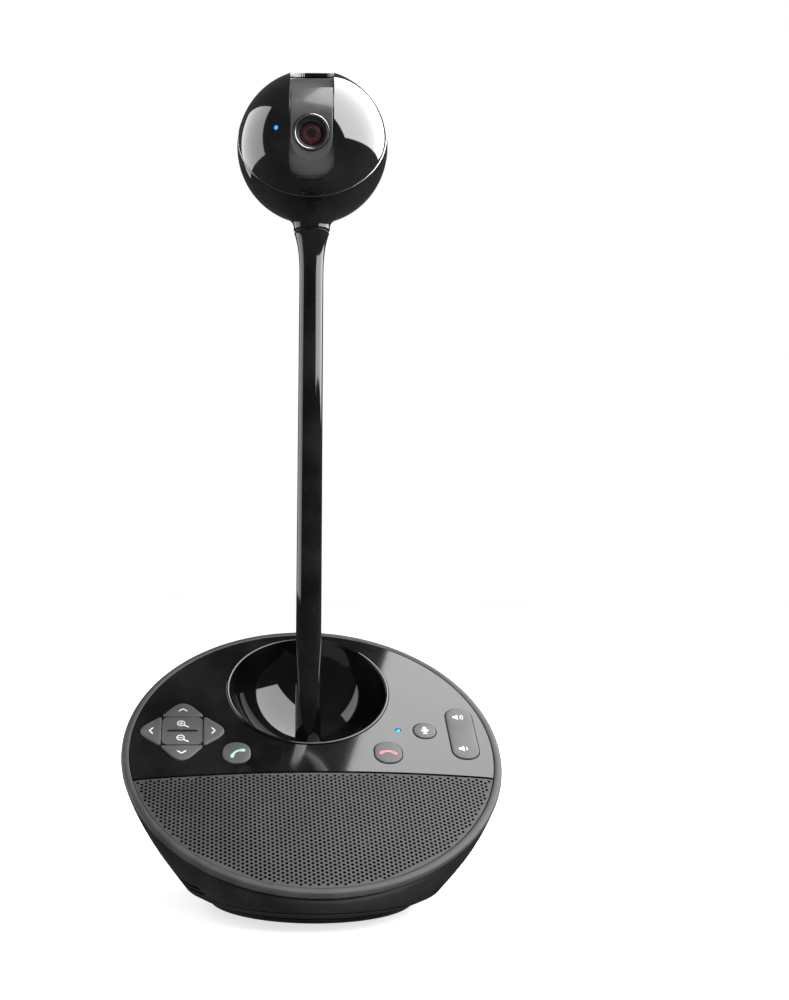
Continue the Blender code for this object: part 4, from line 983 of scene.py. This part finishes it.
    def key(self, name: str, outline: Outline, body: str, node: str, swell: float = 0.12 * MM) -> None:
        """One key: a crowned top with a soft edge.

        Args:
            name: Piece name.
            outline: Its edge in the face's plane.
            body: What it rides on.
            node: The CAD key that it replaces.
            swell: Height of its crown.
        """
        cx = sum(x for x, _ in outline) / len(outline)
        cy = sum(y for _, y in outline) / len(outline)
        soft = 0.45 * MM
        rings = [(1.0, -self.depth, 0.0), (1.0, self.stand - soft, 0.0)]
        rings += [(1.0, self.stand - soft + soft * math.sin(a), soft * (1 - math.cos(a)))
                  for a in [math.pi / 2 * i / 5 for i in range(1, 6)]]
        rings += [(share, self.stand + swell * (1 - share ** 2), soft) for share in (0.8, 0.55, 0.3, 0.12)]
        loops = []
        for share, height, inset in rings:
            loop = []
            for x, y in outline:
                away = Vector((x - cx, y - cy))
                pulled = away * share - away.normalized() * inset * share
                loop.append(Vector((cx + pulled.x, cy + pulled.y, height)))
            loops.append(loop)
        make_piece(name, skinned(loops, LAYOUT.face), Finish.KEY, body, 40.0, [node])

    def build_keys(self) -> None:
        """The pad keys, the zoom rocker and the other keys."""
        for side in Side:
            quarter, body = side.value
            outline = self.moved(self.petal(quarter, 0.0, self.half + self.clearance), self.pad)
            self.key(f"{body}_cap", outline, body, f"{body}_key", 0.05 * MM)
        self.build_zoom()
        for name, size in (("answer", self.call), ("hangup", self.call), ("mute", self.mute)):
            centre = LAYOUT.on_face(f"{name}_key")
            self.key(f"{name}_cap", soft_box(*size, KEY_CORNER * size[0], centre, 14), name, f"{name}_key")
        centre = LAYOUT.on_face("volume_rocker")
        outline = soft_box(*self.volume, KEY_CORNER * self.volume[0], centre, 14)
        self.key("volume_cap", outline, "volume", "volume_rocker", 0.2 * MM)

    def build_zoom(self) -> None:
        """The zoom rocker, with the groove between its two ends."""
        outline = soft_box(2 * self.half, 2 * self.half, 2.6 * MM, self.pad)
        groove = soft_box(12.4 * MM, 1.3 * MM, 0.6 * MM, self.pad)
        body = sheet(outline, [], -self.depth, self.stand, LAYOUT.face)
        cut = sheet(groove, [], -0.35 * MM, 3 * self.stand, LAYOUT.face)
        rocker = rounded(carve(body, [cut]), 0.3 * MM, 4, 50.0)
        make_piece("zoom_cap", rocker, Finish.KEY, "zoom", 60.0, ["zoom_rocker"], True)

    def sign(self, name: str, strokes: Sequence[Outline], finish: Finish, body: str,
             lift: float = 0.0) -> None:
        """A raised printed sign.

        Args:
            name: Piece name.
            strokes: Outlines in the face's plane.
            finish: The ink.
            body: The key's body.
            lift: Height over the key's edge.
        """
        low = self.stand + lift - 0.15 * MM
        parts = [sheet(outline, [], low, self.stand + lift + 0.05 * MM, LAYOUT.face) for outline in strokes]
        make_piece(name, join(parts), finish, body)

    def build_signs(self) -> None:
        """Arrows, magnifiers, handsets, a microphone and loudspeakers."""
        px, py = self.pad
        thin, fine = 0.5 * MM, 0.35 * MM
        for side in Side:
            quarter, body = side.value
            turn = Matrix.Rotation(quarter * math.pi / 2, 2)
            arrow = [(-1.6 * MM, 12.0 * MM), (0.0, 13.3 * MM), (1.6 * MM, 12.0 * MM)]
            legs = [stroke([tuple(turn @ Vector(p)) for p in leg], thin) for leg in (arrow[:2], arrow[1:])]
            self.sign(f"{body}_arrow", [self.moved(leg, self.pad) for leg in legs], Finish.WHITE_INK, body,
                      0.03 * MM)
        marks = []
        for up, plus in ((4.4 * MM, True), (-4.2 * MM, False)):
            x, y = px - 0.6 * MM, py + up
            marks.append(stroke(arc(1.45 * MM, 0, 352, (x, y), 24), 0.4 * MM))
            marks.append(stroke([(x + 1.1 * MM, y - 1.0 * MM), (x + 3.0 * MM, y - 2.2 * MM)], thin))
            marks.append(stroke([(x - 0.7 * MM, y), (x + 0.7 * MM, y)], fine))
            if plus:
                marks.append(stroke([(x, y - 0.7 * MM), (x, y + 0.7 * MM)], fine))
        self.sign("zoom_signs", marks, Finish.WHITE_INK, "zoom", 0.0)
        for name, tilt, finish in (("answer", 38.0, Finish.GREEN_INK), ("hangup", -4.0, Finish.RED_INK)):
            centre = LAYOUT.on_face(f"{name}_key")
            self.sign(f"{name}_sign", self.handset(centre, tilt), finish, name, 0.12 * MM)
        cx, cy = LAYOUT.on_face("mute_key")
        capsule = soft_box(1.5 * MM, 2.7 * MM, 0.74 * MM, (cx, cy + 0.6 * MM))
        cradle = stroke(arc(1.4 * MM, 190, 350, (cx, cy + 0.3 * MM)), fine)
        post = stroke([(cx, cy - 1.2 * MM), (cx, cy - 2.1 * MM)], fine)
        foot = stroke([(cx - 0.8 * MM, cy - 2.1 * MM), (cx + 0.8 * MM, cy - 2.1 * MM)], fine)
        self.sign("mute_sign", [capsule, cradle, post, foot], Finish.WHITE_INK, "mute", 0.12 * MM)
        vx, vy = LAYOUT.on_face("volume_rocker")
        marks = []
        for up, waves in ((9.5 * MM, 2), (-9.5 * MM, 1)):
            x, y = vx - 1.4 * MM, vy + up
            marks.append([(x - 1.2 * MM, y - 0.6 * MM), (x - 0.3 * MM, y - 0.6 * MM),
                          (x + 0.9 * MM, y - 1.6 * MM), (x + 0.9 * MM, y + 1.6 * MM),
                          (x - 0.3 * MM, y + 0.6 * MM), (x - 1.2 * MM, y + 0.6 * MM)])
            for wave in range(waves):
                marks.append(stroke(arc((1.2 + 0.9 * wave) * MM, -42, 42, (x + 0.9 * MM, y)), fine))
        self.sign("volume_signs", marks, Finish.WHITE_INK, "volume", 0.12 * MM)

    def handset(self, centre: Point, tilt: float) -> list[Outline]:
        """A telephone handset lying on a curve.

        Args:
            centre: Its middle.
            tilt: How far it is turned, in degrees.

        Returns:
            Its strokes.
        """
        sweep = 46.0
        middle = (centre[0] - 3.6 * MM * math.sin(math.radians(-tilt)),
                  centre[1] - 3.6 * MM * math.cos(math.radians(-tilt)))
        grip = arc(4.0 * MM, 90 + tilt - sweep, 90 + tilt + sweep, middle, 14)
        ends = [stroke(grip[:3], 1.5 * MM), stroke(grip[-3:], 1.5 * MM)]
        return [stroke(grip, 0.85 * MM), *ends]


@dataclass
class Bowl:
    """The ball's polished seat in the face, with the hole for the collar that the stem stands in."""

    clearance: float = 1.6 * MM
    wall: float = 1.5 * MM
    lip: float = 1.3 * MM
    rise: float = 6.9 * MM
    margin: float = 2.2 * MM

    def __post_init__(self) -> None:
        """Work out the sphere and where it meets the face."""
        self.sphere = LAYOUT.ball_radius + self.clearance
        self.edge = math.sqrt(self.sphere ** 2 - self.rise ** 2)
        self.lip_radius = self.edge + self.lip
        panel = LAYOUT.face_radius - PANEL_INSET
        self.up = panel - self.lip_radius - self.margin

    def build(self) -> None:
        """Build the bowl."""
        outer = self.sphere + self.wall
        start = math.asin(self.rise / self.sphere)
        begin = math.asin((self.rise + PLATE) / outer)
        steps = 48
        inside = [(self.sphere * math.cos(a), self.rise - self.sphere * math.sin(a))
                  for a in [start + (math.pi / 2 - start) * i / steps for i in range(steps + 1)]]
        outside = [(outer * math.cos(a), self.rise - outer * math.sin(a))
                   for a in [begin + (math.pi / 2 - begin) * i / steps for i in range(steps + 1)]]
        inside[-1], outside[-1] = (0.0, self.rise - self.sphere), (0.0, self.rise - outer)
        crown = self.edge + self.lip / 2
        half = self.lip / 2
        rim = [(crown - half * math.cos(a), 0.05 * MM + 0.45 * MM * math.sin(a))
               for a in [math.pi * i / 12 for i in range(1, 13)]]
        profile = [*reversed(inside), *rim, (self.lip_radius, -PLATE), *outside]
        where = LAYOUT.face @ Matrix.Translation((0.0, self.up, 0.0))
        low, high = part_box("stem_plug")
        collar = (high.x - low.x) / 2
        hole = rod(collar + GAP, high.z - 8 * MM, high.z + 8 * MM, LAYOUT.stem, 96)
        bowl = carve(turned(profile, where, 200), [hole])
        make_piece("bowl_gloss", bowl, Finish.GLOSS, "base", 30.0, ["bowl"])


BOWL = Bowl()


@dataclass
class Stem:
    """The polished stem, with the socket for the camera's plug in its top, and its plug in the base."""

    flare: float = 7.6 * MM
    radius: float = 5.5 * MM
    top_radius: float = 5.15 * MM
    flare_length: float = 22.0 * MM
    bore: float = 3.2 * MM

    def build(self) -> None:
        """Build the tube and the collar."""
        low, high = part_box("stem_tube")
        outer = []
        for i in range(40):
            share = i / 39
            height = high.z - self.flare_length * (1 - share)
            outer.append((self.top_radius + (self.flare - self.top_radius) * share ** 3.2, height))
        outer[-1] = (self.flare - 0.25 * MM, high.z)
        outer.insert(-1, (self.flare, high.z - 0.3 * MM))
        plug_low, plug_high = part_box("neck_plug")
        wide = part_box("pan_motor")[1].x + 1.5 * MM
        deep = plug_low.z - GAP
        profile = [(self.radius, low.z), (self.radius, low.z + 3 * MM), *outer, (wide, high.z), (wide, deep),
                   (self.bore, deep - MM), (self.bore, low.z)]
        make_piece("stem_gloss", turned(profile, LAYOUT.stem, 96), Finish.GLOSS, "stem", 30.0, ["stem_tube"])
        low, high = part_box("stem_plug")
        collar = (high.x - low.x) / 2
        seat = self.radius + GAP
        shank = collar - 1.0 * MM
        step = high.z - 3.2 * MM
        soft = 0.8 * MM
        edge = [(collar - soft + soft * math.cos(a), high.z - soft + soft * math.sin(a))
                for a in [math.pi / 2 * i / 8 for i in range(9)]]
        profile = [(seat - 3 * MM, low.z), (shank - 0.6 * MM, low.z), (shank, low.z + 0.6 * MM),
                   (shank, step), (collar, step), *edge, (seat + 0.3 * MM, high.z),
                   (seat, high.z - 0.3 * MM), (seat, low.z + 15 * MM), (seat - 3 * MM, low.z + 15 * MM)]
        make_piece("stem_collar", turned(profile, LAYOUT.stem, 96), Finish.BODY, "stem", 40.0, ["stem_plug"])


# --- Ball head ------------------------------------------------------------------------------------

@dataclass
class Ball:
    """The camera's ball: the glossy rear cup with its neck, the front dome with its slot, and the trim."""

    wall: float = BALL_WALL
    lean: float = math.radians(23.0)
    offset: float = 6.8 * MM
    trim: float = 0.9 * MM
    slot_half: float = SLOT_HALF
    slot_low: float = math.radians(-42.6)
    slot_high: float = math.radians(87.0)
    neck: float = 7.8 * MM
    meet: float = 13.4 * MM
    lamp: float = LAMP_RADIUS
    steps: int = 160

    def __post_init__(self) -> None:
        """Take the ball's radius from the frame."""
        self.radius = LAYOUT.ball_radius
        self.inner = self.radius - self.wall
        self.leaning = LAYOUT.ball @ Matrix.Rotation(math.pi / 2 - self.lean, 4, "X")

    def build(self) -> None:
        """Build the shells, the trim and the lamp."""
        self.build_cup()
        self.build_dome()
        self.build_trim()

    def build_cup(self) -> None:
        """The rear cup, turned in one with its neck and cut off along the leaning plane."""
        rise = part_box("head_cup")[0].z - LAYOUT.ball.translation.z
        meet = math.pi - math.asin(self.meet / self.radius)
        outer = [(self.radius * math.sin(meet * i / 90), self.radius * math.cos(meet * i / 90))
                 for i in range(91)]
        low = outer[-1][1]
        neck = [(self.neck + (self.meet - self.neck) * (1 - i / 20) ** 3.2, low + (rise - low) * i / 20)
                for i in range(1, 20)]
        neck += [(self.neck, rise + 0.3 * MM), (self.neck - 0.3 * MM, rise)]
        throat = 1.4 * MM
        floor = math.pi - math.asin(throat / self.inner)
        inner = [(self.inner * math.sin(floor * (1 - i / 60)), self.inner * math.cos(floor * (1 - i / 60)))
                 for i in range(60)]
        profile = [(0.0, self.radius), *outer[1:], *neck, (throat, rise), *inner, (0.0, self.inner)]
        cup = turned(profile, LAYOUT.ball, self.steps)
        point = self.leaning @ Vector((0.0, 0.0, self.offset - self.trim / 2 - GAP / 2))
        axis = self.leaning.to_3x3() @ Vector((0.0, 0.0, 1.0))
        cut = bmesh.ops.bisect_plane(cup, geom=cup.verts[:] + cup.edges[:] + cup.faces[:], plane_co=point,
                                     plane_no=axis, clear_outer=True)
        edges = [item for item in cut["geom_cut"] if isinstance(item, bmesh.types.BMEdge)]
        bmesh.ops.bridge_loops(cup, edges=edges)
        make_piece("rear_cup_gloss", cup, Finish.GLOSS, "head", 32.0, ["head_cup"])

    def lamp_place(self) -> Matrix:
        """The lamp's place, its axis out of the ball."""
        low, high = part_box("head_led")
        out = ((low + high) / 2 - LAYOUT.ball.translation).normalized()
        return Matrix.Translation(LAYOUT.ball.translation) @ out.to_track_quat("Z", "Y").to_matrix().to_4x4()

    def build_dome(self) -> None:
        """The front dome, its slot and its lamp."""
        edge = self.offset + self.trim / 2 + GAP / 2
        outer_end, inner_end = math.acos(edge / self.radius), math.acos(edge / self.inner)
        outer = [(self.radius * math.sin(outer_end * i / 60), self.radius * math.cos(outer_end * i / 60))
                 for i in range(1, 61)]
        inner = [(self.inner * math.sin(inner_end * i / 60), self.inner * math.cos(inner_end * i / 60))
                 for i in range(60, 0, -1)]
        profile = [(0.0, self.radius), *outer, *inner, (0.0, self.inner)]
        dome = turned(profile, self.leaning, self.steps)
        slot = bent_strip(self.slot_half, 0.75 * self.radius, 1.2 * self.radius, self.slot_low,
                          self.slot_high, True, True, LAYOUT.ball, 96)
        where = self.lamp_place()
        bore = rod(self.lamp + 0.15 * MM, 0.8 * self.radius, 1.2 * self.radius, where, 32)
        dome = carve(dome, [slot, bore])
        piece = make_piece("front_dome_gloss", dome, Finish.DOME, "head", 32.0, ["head_dome"])
        round_normals(piece, LAYOUT.ball.translation, (self.radius, self.inner))
        crown = [(self.lamp * math.sin(a), self.radius - 0.5 * MM + 0.45 * MM * math.cos(a))
                 for a in [math.pi / 2 * i / 8 for i in range(1, 9)]]
        low = self.inner - 2 * MM
        lamp = turned([(0.0, self.radius - 0.05 * MM), *crown, (self.lamp, low), (0.0, low)], where, 32)
        make_piece("head_lamp", lamp, Finish.LAMP, "head", 40.0, ["head_led"])

    def build_trim(self) -> None:
        """The bright band between dome and cup."""
        reach = math.sqrt(self.radius ** 2 - self.offset ** 2)
        half = self.trim / 2 - GAP / 2
        crown = [(reach - 0.1 * MM + 0.2 * MM * math.sin(a), self.offset - half * math.cos(a))
                 for a in [math.pi * i / 8 for i in range(9)]]
        inner = [(reach - 1.2 * MM, self.offset + half), (reach - 1.2 * MM, self.offset - half)]
        make_piece("trim_band", turned([*crown, *inner], self.leaning, self.steps), Finish.CHROME, "head",
                   40.0, ["dome_trim"])


def bent_strip(half: float, inner: float, outer: float, low: float, high: float, round_low: bool,
               round_high: bool, matrix: Matrix, steps: int, soft: float = 0.0) -> bmesh.types.BMesh:
    """A strip bent about X.

    Args:
        half: Half its width.
        inner: Radius of its back.
        outer: Radius of its front.
        low: Elevation of its lower end, in radians.
        high: Elevation of its upper end.
        round_low: Whether the lower end is round.
        round_high: Whether the upper end is round.
        matrix: Where it goes.
        steps: Facets along it.
        soft: Rounding of its front edges.

    Returns:
        The mesh.
    """
    rings = []
    for step in range(steps + 1):
        lift = low + (high - low) * (1 - math.cos(math.pi * step / steps)) / 2
        width = half
        for is_round, end in ((round_low, low), (round_high, high)):
            gone = half - abs(lift - end) * outer
            if is_round and gone > 0.0:
                width = min(width, math.sqrt(max(half ** 2 - gone ** 2, (0.02 * half) ** 2)))
        edge = min(soft, 0.4 * width)
        corners = [(-width, inner), (width, inner)]
        if soft:
            for sign in (1, -1):
                corner = [(sign * (width - edge + edge * math.cos(a)), outer - edge + edge * math.sin(a))
                          for a in [math.pi / 2 * i / 4 for i in range(5)]]
                corners += corner if sign > 0 else corner[::-1]
        else:
            corners += [(width, outer), (-width, outer)]
        rings.append([Vector((x, -r * math.cos(lift), r * math.sin(lift))) for x, r in corners])
    return skinned(rings, matrix)


def round_normals(piece: bpy.types.Object, centre: Vector, radii: Sequence[float]) -> None:
    """Make a piece shade as a true sphere wherever its faces lie on one.

    Args:
        piece: The piece.
        centre: The sphere's centre.
        radii: The radii of its outside and inside.
    """
    mesh = piece.data
    near = 0.02 * MM
    normals = []
    for polygon in mesh.polygons:
        away = [(mesh.vertices[i].co - centre) for i in polygon.vertices]
        side = next((k for k, radius in enumerate(radii)
                     if all(abs(a.length - radius) < near for a in away)), None)
        for vector in away:
            normals.append(polygon.normal.copy() if side is None else vector.normalized() * (1 - 2 * side))
    mesh.normals_split_custom_set(normals)


@dataclass
class Lens:
    """The carriage that tilts behind the slot: its skin, the glossy bezel and the lens."""

    slot_half: float = SLOT_HALF
    overlap: float = 0.95 * MM
    clearance: float = 0.45 * MM
    inset: float = 0.15 * MM
    low: float = math.radians(-27.0)
    high: float = math.radians(34.0)
    shield_low: float = math.radians(-78.6)
    shield_high: float = math.radians(109.0)
    ring: float = 7.5 * MM
    ring_width: float = 1.1 * MM
    stand: float = 0.6 * MM
    glass: float = 4.6 * MM

    def __post_init__(self) -> None:
        """Work out the radii that the strips run on."""
        radius = LAYOUT.ball_radius
        self.shield = math.sqrt((radius - BALL_WALL) ** 2 - (self.slot_half + self.overlap) ** 2) - 0.4 * MM
        self.bezel = math.sqrt(radius ** 2 - (self.slot_half - self.clearance) ** 2) - self.inset
        self.face = math.sqrt(self.bezel ** 2 - self.ring ** 2) + self.stand
        self.front = LAYOUT.lens @ Matrix.Rotation(math.pi / 2, 4, "X")
        self.tilt = -math.asin((LAYOUT.lens.to_3x3() @ Vector((0.0, -1.0, 0.0))).z)

    def build(self) -> None:
        """Build the skin, the bezel and the lens."""
        bore = self.ring - 0.2 * MM
        reach = (0.5 * self.bezel, 1.3 * self.bezel)
        skin = bent_strip(self.slot_half + self.overlap - 0.1 * MM, self.shield + 0.02 * MM,
                          self.shield + 0.14 * MM, self.shield_low, self.shield_high, False, False,
                          LAYOUT.lens, 120)
        make_piece("carriage_skin", carve(skin, [rod(bore, *reach, self.front, 64)]), Finish.STRIP,
                   "carriage", 30.0)
        strip = bent_strip(self.slot_half - self.clearance, self.shield + GAP, self.bezel,
                           self.low + self.tilt, self.high + self.tilt, True, False, LAYOUT.lens, 96, 0.5 * MM)
        make_piece("bezel_gloss", carve(strip, [rod(bore + 0.5 * MM, *reach, self.front, 96)]), Finish.STRIP,
                   "carriage", 30.0, ["lens_bezel"])
        self.build_rings()
        self.build_glass()

    def build_rings(self) -> None:
        """The bright front ring, and the barrel with its stepped light baffle."""
        face, ring = self.face, self.ring
        inner = ring - self.ring_width
        crown = [(inner + self.ring_width * (0.5 - 0.5 * math.cos(a)),
                  face - 0.25 * MM + 0.25 * MM * math.sin(a))
                 for a in [math.pi * i / 10 for i in range(11)]]
        make_piece("lens_bright_ring", turned([(inner, face - 0.7 * MM), *crown, (ring, face - 0.7 * MM)],
                                              self.front, 96), Finish.CHROME, "carriage", 40.0, ["lens_ring"])
        body = ring - 0.5 * MM
        back = face - 11.0 * MM
        throat = self.glass + GAP
        baffle = []
        for i in range(6):
            radius = inner - GAP - (inner - GAP - throat - 0.2 * MM) * i / 6
            height = face - 0.45 * MM - 2.0 * MM * i / 6
            baffle += [(radius, height), (radius - 0.08 * MM, height - 0.30 * MM)]
        profile = [(0.0, back), (body - 1.5 * MM, back), (body, back + 2 * MM), (body, face - 1.0 * MM),
                   (inner - GAP, face - 1.0 * MM), *baffle, (throat, face - 2.7 * MM),
                   (throat, face - 5.2 * MM), (0.0, face - 5.2 * MM)]
        make_piece("lens_baffle", turned(profile, self.front, 96), Finish.BARREL, "carriage", 20.0,
                   ["lens_barrel"])

    def build_glass(self) -> None:
        """The front glass, and the ring and inner element that show through it."""
        low = self.face - 5.2 * MM + GAP
        rim = low + 1.2 * MM
        swell = 1.4 * MM
        dome = [(self.glass * math.sin(a), rim + swell * math.cos(a))
                for a in [math.pi / 2 * i / 20 for i in range(1, 21)]]
        glass = turned([(0.0, rim + swell), *dome, (self.glass, low), (0.0, low)], self.front, 96)
        make_piece("front_element", glass, Finish.LENS, "carriage", 40.0, ["lens_glass"])
        collar = [(3.3 * MM, rim + 0.85 * MM), (3.3 * MM, rim + 1.02 * MM), (3.0 * MM, rim + 1.12 * MM),
                  (2.8 * MM, rim + 1.05 * MM), (2.8 * MM, rim + 0.85 * MM)]
        make_piece("element_ring", turned(collar, self.front, 96), Finish.BARREL, "carriage")
        pupil = [(0.0, rim + 1.50 * MM), (1.2 * MM, rim + 1.44 * MM), (2.0 * MM, rim + 1.27 * MM),
                 (2.2 * MM, rim + 1.0 * MM), (0.0, rim + 1.0 * MM)]
        make_piece("inner_element", turned(pupil, self.front, 96), Finish.ELEMENT, "carriage", 40.0)


@dataclass
class Sockets:
    """Small pieces in the rear sockets and the lamp in the panel."""

    lamp_rise: float = 13.5 * MM

    def mouth(self, node: str) -> Matrix:
        """The middle of a socket's rear face, its axis out of the base."""
        low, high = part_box(node)
        middle = (low + high) / 2
        return Matrix.Translation((middle.x, high.y, middle.z)) @ Matrix.Rotation(-math.pi / 2, 4, "X")

    def build(self) -> None:
        """Build the tongue, the contact pin, the jack's ring and the lamp's cap."""
        tongue = sheet(soft_box(4.6 * MM, 1.1 * MM, 0.2 * MM), [], -6.0 * MM, -0.8 * MM, self.mouth("usb_port"))
        make_piece("usb_tongue", rounded(tongue, 0.1 * MM), Finish.NYLON, "base")
        pin = [(0.0, -0.8 * MM), (0.4 * MM, -0.9 * MM), (0.65 * MM, -1.3 * MM), (0.65 * MM, -6.2 * MM),
               (0.0, -6.2 * MM)]
        make_piece("power_pin", turned(pin, self.mouth("power_jack"), 32), Finish.CHROME, "base")
        ring = [(2.0 * MM, 0.05 * MM), (2.1 * MM, 0.3 * MM), (2.5 * MM, 0.35 * MM), (2.8 * MM, 0.2 * MM),
                (2.8 * MM, 0.05 * MM)]
        make_piece("headset_ring", turned(ring, self.mouth("headset_jack"), 48), Finish.CHROME, "base")
        low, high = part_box("panel_led")
        across = LAYOUT.on_face("panel_led")[0]
        up = LAYOUT.on_face("hangup_key")[1] + self.lamp_rise
        crown = [(LAMP_RADIUS * math.sin(a), -0.25 * MM + 0.3 * MM * math.cos(a))
                 for a in [math.pi / 2 * i / 8 for i in range(1, 9)]]
        depth = -(high - low).z
        cap = turned([(0.0, 0.05 * MM), *crown, (LAMP_RADIUS, depth), (0.0, depth)],
                     LAYOUT.face @ Matrix.Translation((across, up, 0.0)), 32)
        make_piece("panel_lamp", cap, Finish.LAMP, "base", 40.0, ["panel_led"])


# --- Studio ---------------------------------------------------------------------------------------

@dataclass
class Softbox:
    """A rectangular light that hangs from the middle of its upper edge."""

    name: str
    edge: tuple[float, float, float]
    along: tuple[float, float, float]
    fall: tuple[float, float, float]
    size: Point
    radiance: float

    def build(self) -> None:
        """Hang the light; it shines along the cross product of its edge and its fall."""
        along, fall = Vector(self.along).normalized(), Vector(self.fall).normalized()
        light = bpy.data.lights.new(self.name, "AREA")
        light.shape = "RECTANGLE"
        light.size, light.size_y = self.size
        light.energy = self.radiance * math.pi * self.size[0] * self.size[1]
        obj = bpy.data.objects.new(self.name, light)
        bpy.context.scene.collection.objects.link(obj)
        matrix = Matrix((along, -fall, fall.cross(along))).transposed().to_4x4()
        matrix.translation = Vector(self.edge) + fall * self.size[1] / 2
        obj.matrix_world = matrix


@dataclass
class Studio:
    """The pale floor, the soft light and the camera."""

    eye: tuple[float, float, float] = (-0.04181, -0.55149, 0.13009)
    heading: float = math.radians(4.26)
    dip: float = math.radians(-3.01)
    roll: float = math.radians(0.44)
    lens: float = 48.89
    shift: float = 0.0823

    def build(self) -> None:
        """Build the studio."""
        self.build_floor()
        self.build_lights()
        self.build_camera()

    def build_floor(self) -> None:
        """A wide pale floor just under the foot."""
        bm = bmesh.new()
        bmesh.ops.create_grid(bm, x_segments=2, y_segments=2, size=6.0)
        bm.transform(Matrix.Translation((0.0, 0.0, -0.02 * MM)))
        mesh = bpy.data.meshes.new("floor")
        bm.to_mesh(mesh)
        bm.free()
        floor = bpy.data.objects.new("floor", mesh)
        bpy.context.scene.collection.objects.link(floor)
        graph = Graph("floor_paper")
        tone = graph.blend(graph.noise(3.0).between(0.3, 0.7), (0.84, 0.84, 0.84), (0.88, 0.88, 0.88))
        mesh.materials.append(graph.finish(Base_Color=tone, Roughness=0.8, Emission_Color=tone,
                                           Emission_Strength=0.8))
        floor.visible_glossy = False

    def build_lights(self) -> None:
        """A white backdrop in dim surroundings, a sloping light on the right, a tall one on the left."""
        world = bpy.data.worlds.new("studio")
        world.use_nodes = True
        bpy.context.scene.world = world
        tree = world.node_tree
        backdrop = tree.nodes["Background"]
        rays = tree.nodes.new("ShaderNodeLightPath")
        level = tree.nodes.new("ShaderNodeMapRange")
        level.inputs["To Min"].default_value = 0.07
        level.inputs["To Max"].default_value = 1.0
        tree.links.new(rays.outputs["Is Camera Ray"], level.inputs["Value"])
        tree.links.new(level.outputs["Result"], backdrop.inputs["Strength"])
        backdrop.inputs["Color"].default_value = (1.0, 1.0, 1.0, 1.0)
        Softbox("sloping_right", (0.174, 0.349, 1.05), (0.348, 0.937, 0.0), (0.767, -0.285, -0.574),
                (1.7, 1.2), 5.6).build()
        Softbox("tall_left", (-1.0, 0.55, 1.25), (0.0, -1.0, 0.0), (0.0, 0.0, -1.0), (1.3, 1.15), 2.2).build()
        sun = bpy.data.lights.new("high_fill", "SUN")
        sun.energy = 1.1
        sun.angle = math.radians(60.0)
        high = bpy.data.objects.new("high_fill", sun)
        bpy.context.scene.collection.objects.link(high)
        high.rotation_euler = (math.radians(22.0), math.radians(-8.0), 0.0)
        high.visible_glossy = False

    def build_camera(self) -> None:
        """The camera."""
        ahead = Vector((math.sin(self.heading) * math.cos(self.dip),
                        math.cos(self.heading) * math.cos(self.dip), -math.sin(self.dip)))
        level = Vector((math.cos(self.heading), -math.sin(self.heading), 0.0))
        upright = level.cross(ahead)
        right = level * math.cos(self.roll) + upright * math.sin(self.roll)
        top = upright * math.cos(self.roll) - level * math.sin(self.roll)
        data = bpy.data.cameras.new("camera")
        data.sensor_width = 36.0
        data.lens = self.lens
        data.shift_x = self.shift
        data.clip_start = 0.01
        camera = bpy.data.objects.new("camera", data)
        bpy.context.scene.collection.objects.link(camera)
        matrix = Matrix((right, top, -ahead)).transposed().to_4x4()
        matrix.translation = self.eye
        camera.matrix_world = matrix
        bpy.context.scene.camera = camera


def dress_carried_nodes() -> None:
    """Give every CAD node that stays in view the finish of its material slot."""
    slots = {item["node"]: item["material_slot"] for item in frame["record"]["subparts"]}
    finishes: dict[str, Finish] = {}
    for finish in Finish:
        finishes.setdefault(finish.slot, finish)
    for name, obj in frame["nodes"].items():
        finish = finishes[slots[name]]
        obj.data.materials.clear()
        obj.data.materials.append(finish.material)
        LOG.info("%s keeps its shape in %s", name, finish.value[1].name)


def main() -> None:
    """Dress the frame, build every piece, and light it."""
    logging.basicConfig(level=logging.INFO, format="%(name)s: %(message)s")
    scene = bpy.context.scene
    scene.view_settings.view_transform = "Standard"
    dress_carried_nodes()
    for assembly in (Studio(), Housing(), Face(), BOWL, Stem(), Ball(), Lens(), Sockets()):
        assembly.build()
        LOG.info("%s built", type(assembly).__name__)


if __name__ == "__main__":
    main()
